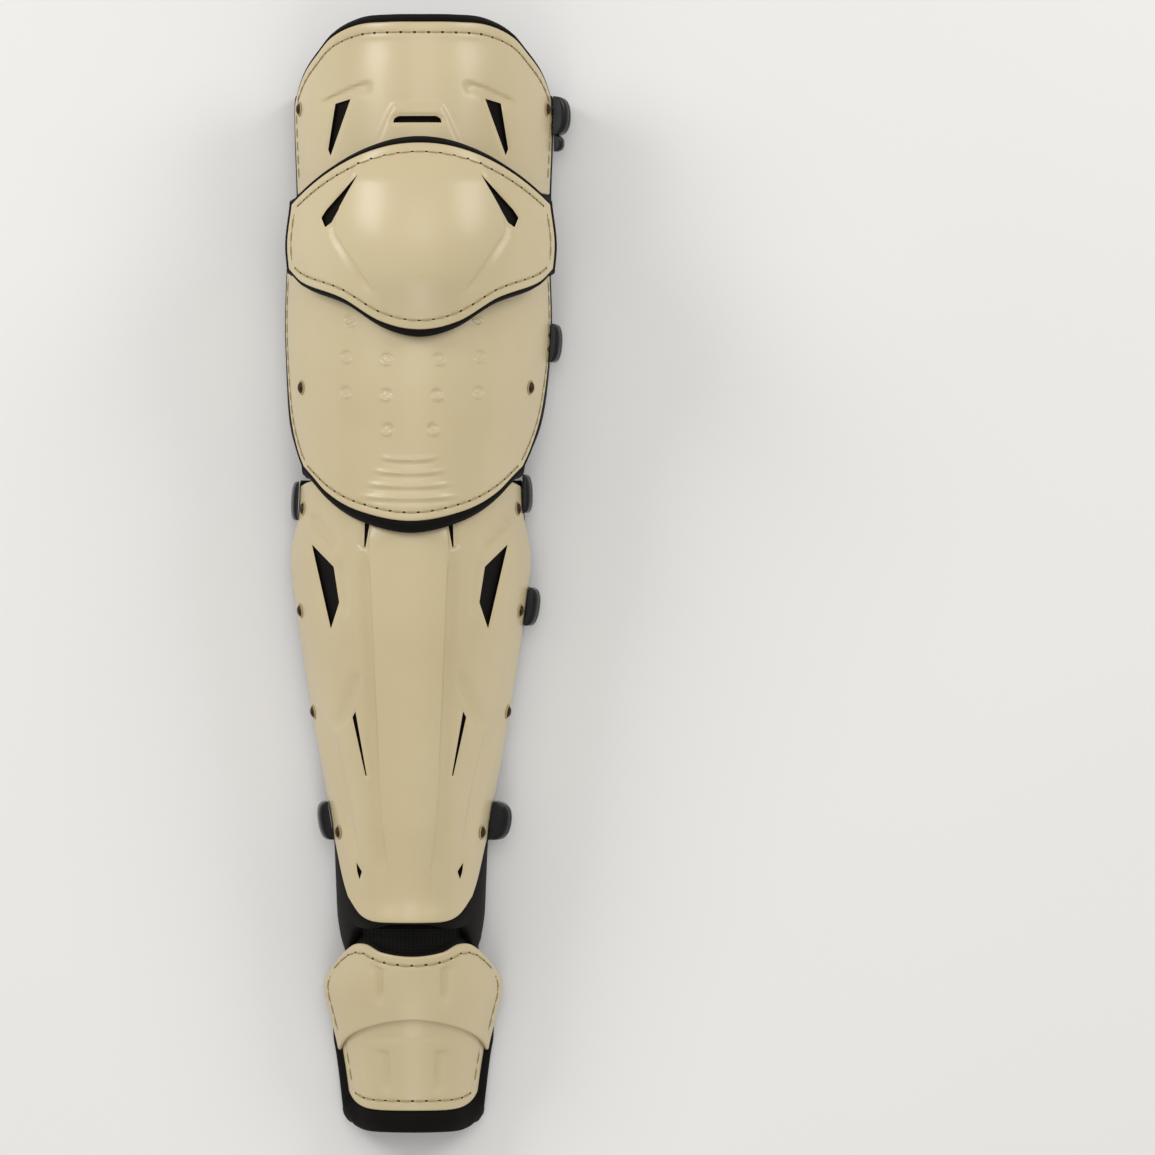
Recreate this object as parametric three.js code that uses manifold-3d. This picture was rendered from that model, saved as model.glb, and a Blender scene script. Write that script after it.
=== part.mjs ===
// Catcher leg guard, lying on its back with the straps fastened. Sizes are in millimetres.
// X runs across the guard, Y runs from the toe to the thigh and Z is up, which is the front of the guard.
import * as THREE from 'three';
import { mergeVertices } from 'three/addons/utils/BufferGeometryUtils.js';
import Module from 'manifold-3d';

// Walls and clearances
const GAP = 0.35;
const SHELL_WALL = 2.6;
const THIGH_PAD_WALL = 9;
const CAP_PAD_WALL = 14;
const PLATE_PAD_WALL = 9;
const SHIN_PAD_WALL = 7;
const FOOT_PAD_WALL = 6;
const NECK_WALL = 3;
const STRAP_WALL = 2;
const STRAP_WIDTH = 25;
const STRAP_BELOW_EDGE = 2.5;

// Lengths along the leg, and how far each piece reaches under or past its neighbour
const THIGH_LENGTH = 100.8;
const CAP_LENGTH = 112.1;
const PLATE_LENGTH = 162.9;
const SHIN_LENGTH = 272.6;
const INSTEP_LENGTH = 65;
const TOE_LENGTH = 62;
const NECK_LENGTH = 44;
const THIGH_UNDER_CAP = 25.9;
const PLATE_UNDER_CAP = 46.2;
const SHIN_UNDER_PLATE = 25.5;
const NECK_SHOWN = 16;
const NECK_UNDER_SHIN = 10;
const NECK_CUT_REACH = 1.08;
const CUT_BORDER = 3 * GAP;
const NECK_SEAT = 0.5;
const TOE_UNDER_INSTEP = 5;

// Half widths of the leg form at the widest place of each piece
const THIGH_HALF = 81.2;
const CAP_HALF = 93.3;
const PLATE_HALF = 83.5;
const SHIN_HALF = 75.6;
const FOOT_HALF = 54.6;

// Greatest heights of the outer faces over the plane in which the guard lies. The cap rides on the thigh
// and the plate, and the plate on the shin, so those three follow the cap by these steps.
const CAP_HEIGHT = 141;
const PLATE_BELOW_CAP = 25;
const THIGH_BELOW_PLATE = 4;
const SHIN_BELOW_PLATE = 15;
const FOOT_HEIGHT = 73;
const NECK_UNDER_INSTEP = 5.1;
const NECK_UNDER_ARCH = 7.9;

// Angles, from the front of the leg round to the side edge of each shell
const SIDE_ANGLE = 80;
const CAP_ANGLE = 62;

// The middle lines of the pieces, sideways from the middle line of the shin
const THIGH_SIDEWAYS = 8;
const CAP_SIDEWAYS = 7;
const PLATE_SIDEWAYS = 4.6;
const FOOT_SIDEWAYS = 1.4;
const THIGH_RELIEF_SHIFT = -2.5;

// Drops of the ends of the shells towards their sides
const THIGH_TOP_DROP = 46.8;
const CAP_TOP_RADIUS = 113.8;
const CAP_BOTTOM_RISE = 38.2;
const PLATE_TOP_DROP = 6;
const PLATE_BOTTOM_RISE = 33.5;
const SHIN_TOP_DROP = 6;
const SHIN_BOTTOM_RISE = 15;
const INSTEP_TOP_DROP = 20;
const INSTEP_ARCH_RISE = 20.5;
const TOE_BOTTOM_RISE = 10;

// Pads show past the shells by these widths
const THIGH_PAD_SHOWN = 4.8;
const CAP_PAD_SHOWN = 4;
const PLATE_PAD_SHOWN = 7;
const WING_DROP = 28.5;
const WING_ROOT = 1;
const FOOT_PAD_SHOWN = 13.6;
const FOOT_PAD_OVER_INSTEP = 1;

// Raised forms on the shells
const PANEL_RAISE = 2.6;
const DOME_RAISE = 3.6;
const CHEVRON_RAISE = 1.8;
const FOOT_RAISE = 1.4;
const PANEL_HALF_TOP = 24.5;
const PANEL_HALF_BOTTOM = 12.5;
const PANEL_BEVEL = 4;

// Where the raised forms and the ramps start and stop, as shares along and across their pieces
const PANEL_RAMP = { start: 0.1, full: 0.17 };
const DOME = {
  inner: 0.62, outer: 0.82, from: 0.55, taper: 1.2, start: 0.12, full: 0.3, rest: 0.8, end: 0.92,
};
const CHEVRON = { inner: 0.25, outer: 0.42, middle: 0.5, slant: 0.25, start: 0.45, full: 0.55 };
const FOOT_FIELD = { inner: 0.36, outer: 0.46 };
const PLATE_RIM = { start: 0.5, full: 0.75 };
const LAP_RAMP = { full: 1.4, start: 3 };

// How sharply the ends of the shells turn towards their sides
const TURN = { plateTop: 2, shinTop: 3, shinEnd: 6, instepEnd: 1.7, toeEnd: 5, wing: 2 };

// Small hardware
const RIVET_RADIUS = 3.5;
const RIVET_HEIGHT = 1.9;
const CLIP_LENGTH = 24;
const CLIP_HEIGHT = 20;
const CLIP_BEVEL = 1.4;
const HOOK_SEAT = 0.9;
const HOOK_HANG = 3;
const HOOK_FOOT = 0.12;
const VENT_FLOOR = 0.25;

const RADIANS = Math.PI / 180;
const SOLE = STRAP_WALL + GAP;
const WHOLE_SIDE = 90 * RADIANS;
const PLATE_HEIGHT = CAP_HEIGHT - PLATE_BELOW_CAP;
const THIGH_HEIGHT = PLATE_HEIGHT - THIGH_BELOW_PLATE;
const SHIN_HEIGHT = PLATE_HEIGHT - SHIN_BELOW_PLATE;
const wasm = await Module();
wasm.setup();

// Places along the leg follow from the lengths: 0 is the top edge of the shin shell
const SHIN_TOP = 0;
const SHIN_END = SHIN_TOP - SHIN_LENGTH;
const PLATE_END = SHIN_TOP - SHIN_UNDER_PLATE;
const PLATE_TOP = PLATE_END + PLATE_LENGTH;
const CAP_END = PLATE_TOP - PLATE_UNDER_CAP;
const CAP_TOP = CAP_END + CAP_LENGTH;
const THIGH_END = CAP_TOP - THIGH_UNDER_CAP;
const THIGH_TOP = THIGH_END + THIGH_LENGTH;
const INSTEP_TOP = SHIN_END - NECK_SHOWN;
const INSTEP_END = INSTEP_TOP - INSTEP_LENGTH;
const ARCH_END = INSTEP_END + INSTEP_ARCH_RISE;
const TOE_END = ARCH_END + TOE_UNDER_INSTEP - TOE_LENGTH;
const NECK_TOP = SHIN_END + NECK_UNDER_SHIN;

const colour = (hex, roughness, metalness = 0) =>
  new THREE.MeshStandardMaterial({ color: hex, roughness, metalness });
const SHELL = colour('#c6b68e', 0.35);
const FOAM = colour('#241d1c', 0.8);
const KNIT = colour('#1f1b1a', 0.9);
const PLASTIC = colour('#17171b', 0.3);
const WEBBING = colour('#1d1b1c', 0.85);
const BRONZE = colour('#4a3424', 0.4, 0.7);

// Reads one column of a table at a place along it, with soft joins between the rows
function column(rows, key, at) {
  const last = rows.length - 1;
  if (at <= rows[0].at) {
    return rows[0][key];
  }
  if (at >= rows[last].at) {
    return rows[last][key];
  }
  const i = rows.findIndex((row) => row.at >= at) - 1;
  const [a, b] = [rows[i], rows[i + 1]];
  const before = rows[Math.max(i - 1, 0)];
  const after = rows[Math.min(i + 2, last)];
  const span = b.at - a.at;
  const slopeA = (b[key] - before[key]) / (b.at - before.at);
  const slopeB = (after[key] - a[key]) / (after.at - a.at);
  const t = (at - a.at) / span;
  const rise = b[key] - a[key];
  return a[key] + t * slopeA * span * (1 - t) ** 2 + t * t * (3 - 2 * t) * rise
    - t * t * (1 - t) * slopeB * span;
}

const smooth = (low, high, value) => THREE.MathUtils.smoothstep(value, low, high);

// The forms of the leg under each piece. Rows run from the top end, at 0, to the lower end, at 1.
// girth is a share of the half width, crest of the height, angle of the shell's side angle, and lean of
// the sideways shift.
const THIGH = {
  top: THIGH_TOP, length: THIGH_LENGTH, half: THIGH_HALF, height: THIGH_HEIGHT,
  sideways: THIGH_SIDEWAYS, base: SOLE,
  rows: [
    { at: 0, girth: 0.97, crest: 0.93, angle: 1, lean: 1 },
    { at: 0.45, girth: 1, crest: 0.97, angle: 1, lean: 1 },
    { at: 1, girth: 0.985, crest: 1, angle: 0.97, lean: 1 },
  ],
};
const CAP = {
  top: CAP_TOP, length: CAP_LENGTH, half: CAP_HALF, height: CAP_HEIGHT,
  sideways: CAP_SIDEWAYS, base: SOLE, angle: CAP_ANGLE,
  rows: [
    { at: 0, girth: 0.97, crest: 0.89, angle: 0.94, lean: 1 },
    { at: 0.3, girth: 0.985, crest: 0.97, angle: 0.965, lean: 1 },
    { at: 0.52, girth: 1, crest: 1, angle: 1, lean: 1 },
    { at: 0.7, girth: 0.99, crest: 0.985, angle: 0.985, lean: 1 },
    { at: 1, girth: 0.97, crest: 0.9, angle: 0.95, lean: 1 },
  ],
};
const PLATE = {
  top: PLATE_TOP, length: PLATE_LENGTH, half: PLATE_HALF, height: PLATE_HEIGHT,
  sideways: PLATE_SIDEWAYS, base: SOLE,
  rows: [
    { at: 0, girth: 0.985, crest: 0.95, angle: 1, lean: 1 },
    { at: 0.25, girth: 1, crest: 0.985, angle: 1, lean: 1 },
    { at: 0.43, girth: 0.985, crest: 1, angle: 0.985, lean: 0.9 },
    { at: 0.6, girth: 0.96, crest: 1, angle: 0.94, lean: 0.7 },
    { at: 0.73, girth: 0.935, crest: 0.995, angle: 0.84, lean: 0.5 },
    { at: 0.85, girth: 0.905, crest: 0.985, angle: 0.72, lean: 0.38 },
    { at: 1, girth: 0.875, crest: 0.975, angle: 0.66, lean: 0.33 },
  ],
};
const SHIN = {
  top: SHIN_TOP, length: SHIN_LENGTH, half: SHIN_HALF, height: SHIN_HEIGHT,
  sideways: 0, base: SOLE,
  rows: [
    { at: 0, girth: 0.925, crest: 1, angle: 1, lean: 0 },
    { at: 0.08, girth: 0.94, crest: 1, angle: 1, lean: 0 },
    { at: 0.167, girth: 1, crest: 0.995, angle: 1, lean: 0 },
    { at: 0.24, girth: 0.985, crest: 0.985, angle: 1, lean: 0 },
    { at: 0.35, girth: 0.93, crest: 0.965, angle: 1, lean: 0 },
    { at: 0.565, girth: 0.805, crest: 0.905, angle: 1, lean: 0 },
    { at: 0.782, girth: 0.668, crest: 0.83, angle: 0.965, lean: 0 },
    { at: 0.84, girth: 0.655, crest: 0.81, angle: 0.85, lean: 0 },
    { at: 0.91, girth: 0.648, crest: 0.795, angle: 0.725, lean: 0 },
    { at: 0.963, girth: 0.642, crest: 0.79, angle: 0.62, lean: 0 },
    { at: 1, girth: 0.635, crest: 0.8, angle: 0.58, lean: 0 },
  ],
};
const NECK_DEEP = SHELL_WALL + SHIN_PAD_WALL + 2 * GAP + NECK_SEAT;
const SHIN_END_ROW = SHIN.rows[SHIN.rows.length - 1];
const NECK_HEIGHT = SHIN_END_ROW.crest * SHIN_HEIGHT - NECK_DEEP;
const NECK_LOW_CREST = (FOOT_HEIGHT - NECK_UNDER_INSTEP) / NECK_HEIGHT;
const NECK_END_CREST = (FOOT_HEIGHT - NECK_UNDER_ARCH) / NECK_HEIGHT;
const NECK = {
  top: NECK_TOP, length: NECK_LENGTH, half: SHIN_END_ROW.girth * SHIN_HALF - NECK_DEEP,
  height: NECK_HEIGHT, sideways: FOOT_SIDEWAYS, base: SOLE,
  rows: [
    { at: 0, girth: 1, crest: 1, angle: 1, lean: 0 },
    { at: 0.4, girth: 0.99, crest: 0.99, angle: 1, lean: 0.3 },
    { at: 0.75, girth: 1.02, crest: NECK_LOW_CREST, angle: 1, lean: 0.8 },
    { at: 1, girth: 1.04, crest: NECK_END_CREST, angle: 1, lean: 1 },
  ],
};
const FOOT = {
  top: INSTEP_TOP, length: INSTEP_TOP - TOE_END, half: FOOT_HALF, height: FOOT_HEIGHT,
  sideways: FOOT_SIDEWAYS, base: 0,
  rows: [
    { at: 0, girth: 0.86, crest: 1, angle: 0.96, lean: 1 },
    { at: 0.14, girth: 0.955, crest: 0.955, angle: 0.97, lean: 1 },
    { at: 0.26, girth: 1, crest: 0.9, angle: 0.98, lean: 1 },
    { at: 0.42, girth: 0.955, crest: 0.83, angle: 0.94, lean: 1 },
    { at: 0.65, girth: 0.85, crest: 0.73, angle: 0.96, lean: 1 },
    { at: 1, girth: 0.765, crest: 0.6, angle: 0.85, lean: 1 },
  ],
};

const share = (form, y) => (form.top - y) / form.length;
const edgeAngle = (form, y) =>
  column(form.rows, 'angle', share(form, y)) * (form.angle ?? SIDE_ANGLE) * RADIANS;

// A point of the half ellipse that is the leg's section, at an angle from the front
function section(form, y, angle) {
  const at = share(form, y);
  const girth = column(form.rows, 'girth', at) * form.half;
  const crest = column(form.rows, 'crest', at) * form.height - form.base;
  const middle = column(form.rows, 'lean', at) * form.sideways;
  return new THREE.Vector3(
    middle + girth * Math.sin(angle), y, form.base + crest * Math.cos(angle));
}

function outward(form, y, angle) {
  const step = 0.01;
  const across = section(form, y, angle + step).sub(section(form, y, angle - step));
  const along = section(form, y + 1, angle).sub(section(form, y - 1, angle));
  return across.cross(along).normalize();
}

// A point a given distance outside the form, measured square to the leg's length at the sole
function surface(form, y, angle, offset) {
  const normal = outward(form, y, angle);
  normal.y = 0;
  return section(form, y, angle).addScaledVector(normal.normalize(), offset);
}

// A closed mesh between two grids of points with the same rows and columns
function slab(outer, inner) {
  const rows = outer.length;
  const columns = outer[0].length;
  const points = [...outer.flat(), ...inner.flat()].flatMap((p) => [p.x, p.y, p.z]);
  const half = rows * columns;
  const index = [];
  const quad = (a, b, c, d) => index.push(a, b, c, a, c, d);
  for (let i = 0; i < rows - 1; i++) {
    for (let j = 0; j < columns - 1; j++) {
      const a = i * columns + j;
      quad(a, a + columns, a + columns + 1, a + 1);
      quad(half + a, half + a + 1, half + a + columns + 1, half + a + columns);
    }
  }
  for (let j = 0; j < columns - 1; j++) {
    const low = (rows - 1) * columns + j;
    quad(j, j + 1, half + j + 1, half + j);
    quad(low + 1, low, half + low, half + low + 1);
  }
  for (let i = 0; i < rows - 1; i++) {
    const left = i * columns;
    const right = left + columns - 1;
    quad(left + columns, left, half + left, half + left + columns);
    quad(right, right + columns, half + right + columns, half + right);
  }
  const geometry = new THREE.BufferGeometry();
  geometry.setAttribute('position', new THREE.Float32BufferAttribute(points, 3));
  geometry.setIndex(index);
  return geometry;
}

const spread = (count) => Array.from({ length: count + 1 }, (_, i) => 2 * i / count - 1);

// A curved panel between a top and a bottom edge, each a function of the share across. A border adds
// columns out to its side angle and a row past each end, so a pad follows the faces of its shell.
function panel({ form, columns, rows, top, bottom, reach, outer, inner, border }) {
  const stations = Array.from({ length: rows + 1 }, (_, i) => columns.map((u) => {
    const y = THREE.MathUtils.lerp(top(Math.abs(u)), bottom(Math.abs(u)), i / rows);
    return { u, y, angle: u * reach(form, y) };
  }));
  if (border) {
    stations.forEach((row) => {
      const edge = row[row.length - 1];
      for (let k = 1; k <= border.columns; k++) {
        const side = border.side(form, edge.y);
        const angle = THREE.MathUtils.lerp(edge.angle, side, k / border.columns);
        row.push({ u: 1, y: edge.y, angle });
        row.unshift({ u: -1, y: edge.y, angle: -angle });
      }
    });
    const past = (row, step) => row.map((s) => {
      const y = s.y + step(Math.abs(s.angle) / WHOLE_SIDE);
      return { ...s, y };
    });
    stations.unshift(past(stations[0], border.top));
    stations.push(past(stations[stations.length - 1], (turn) => -border.bottom(turn)));
  }
  const grid = (offset) => stations.map((row) => row.map((s) =>
    surface(form, s.y, s.angle, offset(s.u, s.y))));
  return slab(grid(outer), grid(inner));
}

function toSolid(geometry) {
  const bare = geometry.clone();
  bare.deleteAttribute('normal');
  bare.deleteAttribute('uv');
  const merged = mergeVertices(bare, 1e-4);
  return new wasm.Manifold(new wasm.Mesh({
    numProp: 3,
    vertProperties: new Float32Array(merged.attributes.position.array),
    triVerts: new Uint32Array(merged.index.array),
  }));
}

function toGeometry(solid) {
  const mesh = solid.getMesh();
  const geometry = new THREE.BufferGeometry();
  geometry.setAttribute('position', new THREE.Float32BufferAttribute(mesh.vertProperties, 3));
  geometry.setIndex([...mesh.triVerts]);
  return geometry;
}

const cut = (geometry, ...tools) =>
  toGeometry(tools.reduce((solid, tool) => solid.subtract(toSolid(tool)), toSolid(geometry)));

// A straight prism through a shell for a vent, whose corners are shares across and along the form
function ventTool(form, corners, side, shift = 0) {
  const shape = new THREE.Shape(corners.map(({ across, along }) =>
    new THREE.Vector2(side * across * form.half, form.top - along * form.length)));
  const tool = new THREE.ExtrudeGeometry(shape, { depth: form.height, bevelEnabled: false });
  const middle = column(form.rows, 'lean', corners[0].along) * form.sideways + shift;
  tool.translate(middle, 0, form.height * VENT_FLOOR);
  return tool;
}
const ventPair = (form, corners, shift) => [-1, 1].map((side) => ventTool(form, corners, side, shift));

// End edges of the shells, with u the share across from the middle to the side. A row short of 0 mirrors
// the row past it, so that an edge runs level through the middle.
const THIGH_TOP_EDGE = [
  { at: 0, drop: 0 },
  { at: 0.36, drop: 0 },
  { at: 0.565, drop: 0.17 },
  { at: 0.685, drop: 0.38 },
  { at: 0.81, drop: 0.59 },
  { at: 0.91, drop: 0.8 },
  { at: 1, drop: 1 },
];
const CAP_BOTTOM_EDGE = [
  { at: -0.258, rise: 0.136 },
  { at: 0, rise: 0 },
  { at: 0.258, rise: 0.136 },
  { at: 0.526, rise: 0.515 },
  { at: 0.862, rise: 0.782 },
  { at: 1, rise: 1 },
];
const PLATE_BOTTOM_EDGE = [
  { at: -0.49, rise: 0.19 },
  { at: 0, rise: 0 },
  { at: 0.49, rise: 0.19 },
  { at: 0.81, rise: 0.54 },
  { at: 1, rise: 1 },
];
const INSTEP_TOP_EDGE = [
  { at: -0.3, drop: 0.25 },
  { at: 0, drop: 0.37 },
  { at: 0.3, drop: 0.25 },
  { at: 0.52, drop: 0 },
  { at: 0.72, drop: 0.12 },
  { at: 1, drop: 1 },
];
const thighTop = (u) => THIGH_TOP - column(THIGH_TOP_EDGE, 'drop', u) * THIGH_TOP_DROP;
const thighEnd = () => THIGH_END;
const capTop = (u) => CAP_TOP - CAP_TOP_RADIUS
  + Math.sqrt(CAP_TOP_RADIUS ** 2 - (CAP_HALF * Math.sin(u * CAP_ANGLE * RADIANS)) ** 2);
const capEnd = (u) => CAP_END + column(CAP_BOTTOM_EDGE, 'rise', u) * CAP_BOTTOM_RISE;
const plateTop = (u) => PLATE_TOP - PLATE_TOP_DROP * u ** TURN.plateTop;
const plateEnd = (u) => PLATE_END + column(PLATE_BOTTOM_EDGE, 'rise', u) * PLATE_BOTTOM_RISE;
const shinTop = (u) => SHIN_TOP - SHIN_TOP_DROP * u ** TURN.shinTop;
const shinEnd = (u) => SHIN_END + SHIN_BOTTOM_RISE * u ** TURN.shinEnd;
const instepTop = (u) => INSTEP_TOP - column(INSTEP_TOP_EDGE, 'drop', u) * INSTEP_TOP_DROP;
const instepEnd = (u) => ARCH_END - INSTEP_ARCH_RISE * u ** TURN.instepEnd;
const toeTop = (u) => instepEnd(u) + TOE_UNDER_INSTEP;
const toeEnd = (u) => TOE_END + TOE_BOTTOM_RISE * u ** TURN.toeEnd;

// Raised forms, as heights over the plain shell
function shinRaise(u, y) {
  const x = Math.abs(section(SHIN, y, u * edgeAngle(SHIN, y)).x);
  const at = share(SHIN, y);
  const half = THREE.MathUtils.lerp(PANEL_HALF_TOP, PANEL_HALF_BOTTOM, at);
  const ramp = smooth(PANEL_RAMP.start, PANEL_RAMP.full, at);
  return PANEL_RAISE * (1 - smooth(half - PANEL_BEVEL, half, x)) * ramp;
}
function capRaise(u, y) {
  const at = share(CAP, y);
  const out = Math.abs(u) + DOME.taper * Math.max(at - DOME.from, 0);
  const side = 1 - smooth(DOME.inner, DOME.outer, out);
  return DOME_RAISE * side * smooth(DOME.start, DOME.full, at) * (1 - smooth(DOME.rest, DOME.end, at));
}
function thighRaise(u, y) {
  const at = share(THIGH, y);
  const out = Math.abs(u) - CHEVRON.slant * (at - CHEVRON.middle);
  const side = 1 - smooth(CHEVRON.inner, CHEVRON.outer, out);
  return CHEVRON_RAISE * side * smooth(CHEVRON.start, CHEVRON.full, at);
}
const footRaise = (u) => FOOT_RAISE * (1 - smooth(FOOT_FIELD.inner, FOOT_FIELD.outer, Math.abs(u)));

const under = (depth) => () => -depth;
const plain = () => 0;

const object = new THREE.Group();
function add(name, geometry, material) {
  const bare = geometry.index ? geometry : mergeVertices(geometry);
  const mesh = new THREE.Mesh(bare, material);
  mesh.name = name;
  object.add(mesh);
  return mesh;
}

// Shells
const thighShell = {
  form: THIGH, columns: spread(16), rows: 6, top: thighTop, bottom: thighEnd,
  reach: edgeAngle, outer: thighRaise, inner: under(SHELL_WALL),
};
const capShell = {
  form: CAP, columns: spread(16), rows: 10, top: capTop, bottom: capEnd,
  reach: edgeAngle, outer: capRaise, inner: under(SHELL_WALL),
};
const plateShell = {
  form: PLATE, columns: spread(16), rows: 8, top: plateTop, bottom: plateEnd,
  reach: edgeAngle, outer: plain, inner: under(SHELL_WALL),
};
const SHIN_COLUMNS = [0, 0.19, 0.24, 0.29, 0.36, 0.5, 0.66, 0.83, 1];
const shinShell = {
  form: SHIN, columns: [...SHIN_COLUMNS.slice(1).reverse().map((u) => -u), ...SHIN_COLUMNS],
  rows: 13, top: shinTop, bottom: shinEnd,
  reach: edgeAngle, outer: shinRaise, inner: under(SHELL_WALL),
};
const THIGH_VENT = [
  { across: 0.508, along: 0.453 },
  { across: 0.627, along: 0.477 },
  { across: 0.683, along: 0.755 },
  { across: 0.664, along: 0.795 },
];
const THIGH_SLOT = [
  { across: -0.18, along: 0.605 },
  { across: -0.15, along: 0.565 },
  { across: 0.15, along: 0.565 },
  { across: 0.18, along: 0.605 },
];
const CAP_VENT = [
  { across: 0.41, along: 0.166 },
  { across: 0.605, along: 0.357 },
  { across: 0.65, along: 0.395 },
  { across: 0.624, along: 0.444 },
];
const SHIN_VENTS = [
  [
    { across: 0.797, along: 0.15 },
    { across: 0.613, along: 0.2 },
    { across: 0.567, along: 0.281 },
    { across: 0.64, along: 0.341 },
  ],
  [
    { across: 0.44, along: 0.529 },
    { across: 0.466, along: 0.542 },
    { across: 0.358, along: 0.674 },
    { across: 0.335, along: 0.674 },
  ],
  [
    { across: 0.44, along: 0.871 },
    { across: 0.425, along: 0.89 },
    { across: 0.41, along: 0.909 },
    { across: 0.39, along: 0.888 },
  ],
];
const relief = THIGH_RELIEF_SHIFT;
add('thigh_shell', cut(panel(thighShell), ...ventPair(THIGH, THIGH_VENT, relief),
  ventTool(THIGH, THIGH_SLOT, 1, relief)), SHELL);
add('knee_cap_shell', cut(panel(capShell), ...ventPair(CAP, CAP_VENT)), SHELL);
add('knee_plate_shell', panel(plateShell), SHELL);
add('shin_shell', cut(panel(shinShell), ...SHIN_VENTS.flatMap((vent) => ventPair(SHIN, vent))), SHELL);

// The instep shell rises at its arched lower edge, which laps over the toe shell
const LAP = SHELL_WALL + GAP;
const LAP_FULL = ARCH_END + LAP_RAMP.full * TOE_UNDER_INSTEP;
const LAP_START = ARCH_END + LAP_RAMP.start * TOE_UNDER_INSTEP;
const lift = (y) => LAP * (1 - smooth(LAP_FULL, LAP_START, y));
add('instep_shell', panel({
  form: FOOT, columns: spread(14), rows: 6, top: instepTop, bottom: instepEnd,
  reach: edgeAngle, outer: (u, y) => lift(y) + footRaise(u), inner: (u, y) => lift(y) - SHELL_WALL,
}), SHELL);
add('toe_shell', panel({
  form: FOOT, columns: spread(14), rows: 5, top: toeTop, bottom: toeEnd,
  reach: edgeAngle, outer: plain, inner: under(SHELL_WALL),
}), SHELL);

// Cutters that leave the clearance over a shell for the pad that lies on it
const over = (shell, depth) => panel({
  ...shell,
  outer: (u, y) => shell.outer(u, y) + GAP,
  inner: () => -depth,
  border: {
    columns: 1, side: (form, y) => shell.reach(form, y) + GAP / form.half,
    top: () => CUT_BORDER, bottom: () => CUT_BORDER,
  },
});

// Pads keep a clearance under their shells and show past the edges
const PAD_DEPTH = SHELL_WALL + GAP;
const wholeSide = () => WHOLE_SIDE;
const padUnder = (shell, wall, border) => panel({
  ...shell, border, outer: under(PAD_DEPTH), inner: under(PAD_DEPTH + wall),
});
const past = (width) => () => width;
add('thigh_pad', padUnder(thighShell, THIGH_PAD_WALL, {
  columns: 1, side: wholeSide, top: past(THIGH_PAD_SHOWN), bottom: past(GAP),
}), FOAM);
add('knee_cap_pad', cut(padUnder(capShell, CAP_PAD_WALL, {
  columns: 1, side: (form, y) => edgeAngle(form, y) + CAP_PAD_SHOWN / CAP_HALF,
  top: past(CAP_PAD_SHOWN), bottom: past(CAP_PAD_SHOWN),
}), over(thighShell, CAP_PAD_WALL), over(plateShell, CAP_PAD_WALL)), FOAM);
add('knee_plate_pad', cut(padUnder(plateShell, PLATE_PAD_WALL, {
  columns: 1,
  side: (form, y) => THREE.MathUtils.lerp(WHOLE_SIDE, edgeAngle(form, y) + PLATE_PAD_SHOWN / PLATE_HALF,
    smooth(PLATE_RIM.start, PLATE_RIM.full, share(form, y))),
  top: past(0), bottom: past(PLATE_PAD_SHOWN),
}), over(shinShell, PLATE_PAD_WALL)), FOAM);
add('shin_pad', padUnder(shinShell, SHIN_PAD_WALL, {
  columns: 2, side: wholeSide, top: past(GAP),
  bottom: (turn) => WING_ROOT + WING_DROP * turn ** TURN.wing,
}), FOAM);
const neck = {
  form: NECK, columns: spread(14), rows: 6, top: () => NECK_TOP, bottom: () => NECK_TOP - NECK_LENGTH,
  reach: wholeSide, outer: plain, inner: under(NECK_WALL),
};
add('ankle_neck', panel(neck), KNIT);
const sole = {
  form: FOOT, columns: spread(14), rows: 7, top: instepTop, bottom: toeEnd, reach: edgeAngle,
};
add('foot_pad', cut(padUnder(sole, FOOT_PAD_WALL, {
  columns: 1, side: wholeSide, top: past(FOOT_PAD_OVER_INSTEP), bottom: past(FOOT_PAD_SHOWN),
}), over({ ...neck, reach: () => WHOLE_SIDE * NECK_CUT_REACH }, 2 * FOOT_PAD_WALL)), FOAM);

// A place on the outside of a shell, with its own axes: along the leg, down the side and outward
function seat(form, y, angle, offset) {
  const out = outward(form, y, angle);
  const along = new THREE.Vector3(0, 1, 0);
  along.addScaledVector(out, -out.y).normalize();
  const down = new THREE.Vector3().crossVectors(out, along);
  const frame = new THREE.Matrix4().makeBasis(along, down, out);
  return frame.setPosition(section(form, y, angle).addScaledVector(out, offset));
}

// Rivets hold the shells to the liner. Each row is one height on the shell, for both its sides.
const RIVETS = [
  { name: 'thigh', form: THIGH, at: 0.49, turn: 0.88 },
  { name: 'plate', form: PLATE, at: 0.5, turn: 0.77 },
  { name: 'shin_top', form: SHIN, at: 0.068, turn: 0.87 },
  { name: 'shin_mid', form: SHIN, at: 0.3, turn: 0.87 },
  { name: 'shin_low', form: SHIN, at: 0.53, turn: 0.92 },
  { name: 'ankle', form: SHIN, at: 0.803, turn: 0.83 },
];
const rivetProfile = [
  { across: 0, up: 0 },
  { across: 1, up: 0 },
  { across: 1, up: 0.4 },
  { across: 0.7, up: 0.85 },
  { across: 0, up: 1 },
].map(({ across, up }) => new THREE.Vector2(across * RIVET_RADIUS, up * RIVET_HEIGHT));
for (const { name, form, at, turn } of RIVETS) {
  const y = form.top - at * form.length;
  for (const [side, label] of [[-1, 'left'], [1, 'right']]) {
    const rivet = mergeVertices(new THREE.LatheGeometry(rivetProfile, 8).deleteAttribute('uv')
      .deleteAttribute('normal').rotateX(Math.PI / 2), 1e-3);
    const place = seat(form, y, side * turn * edgeAngle(form, y), GAP);
    add(`${name}_rivet_${label}`, rivet, BRONZE).applyMatrix4(place);
  }
}

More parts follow.
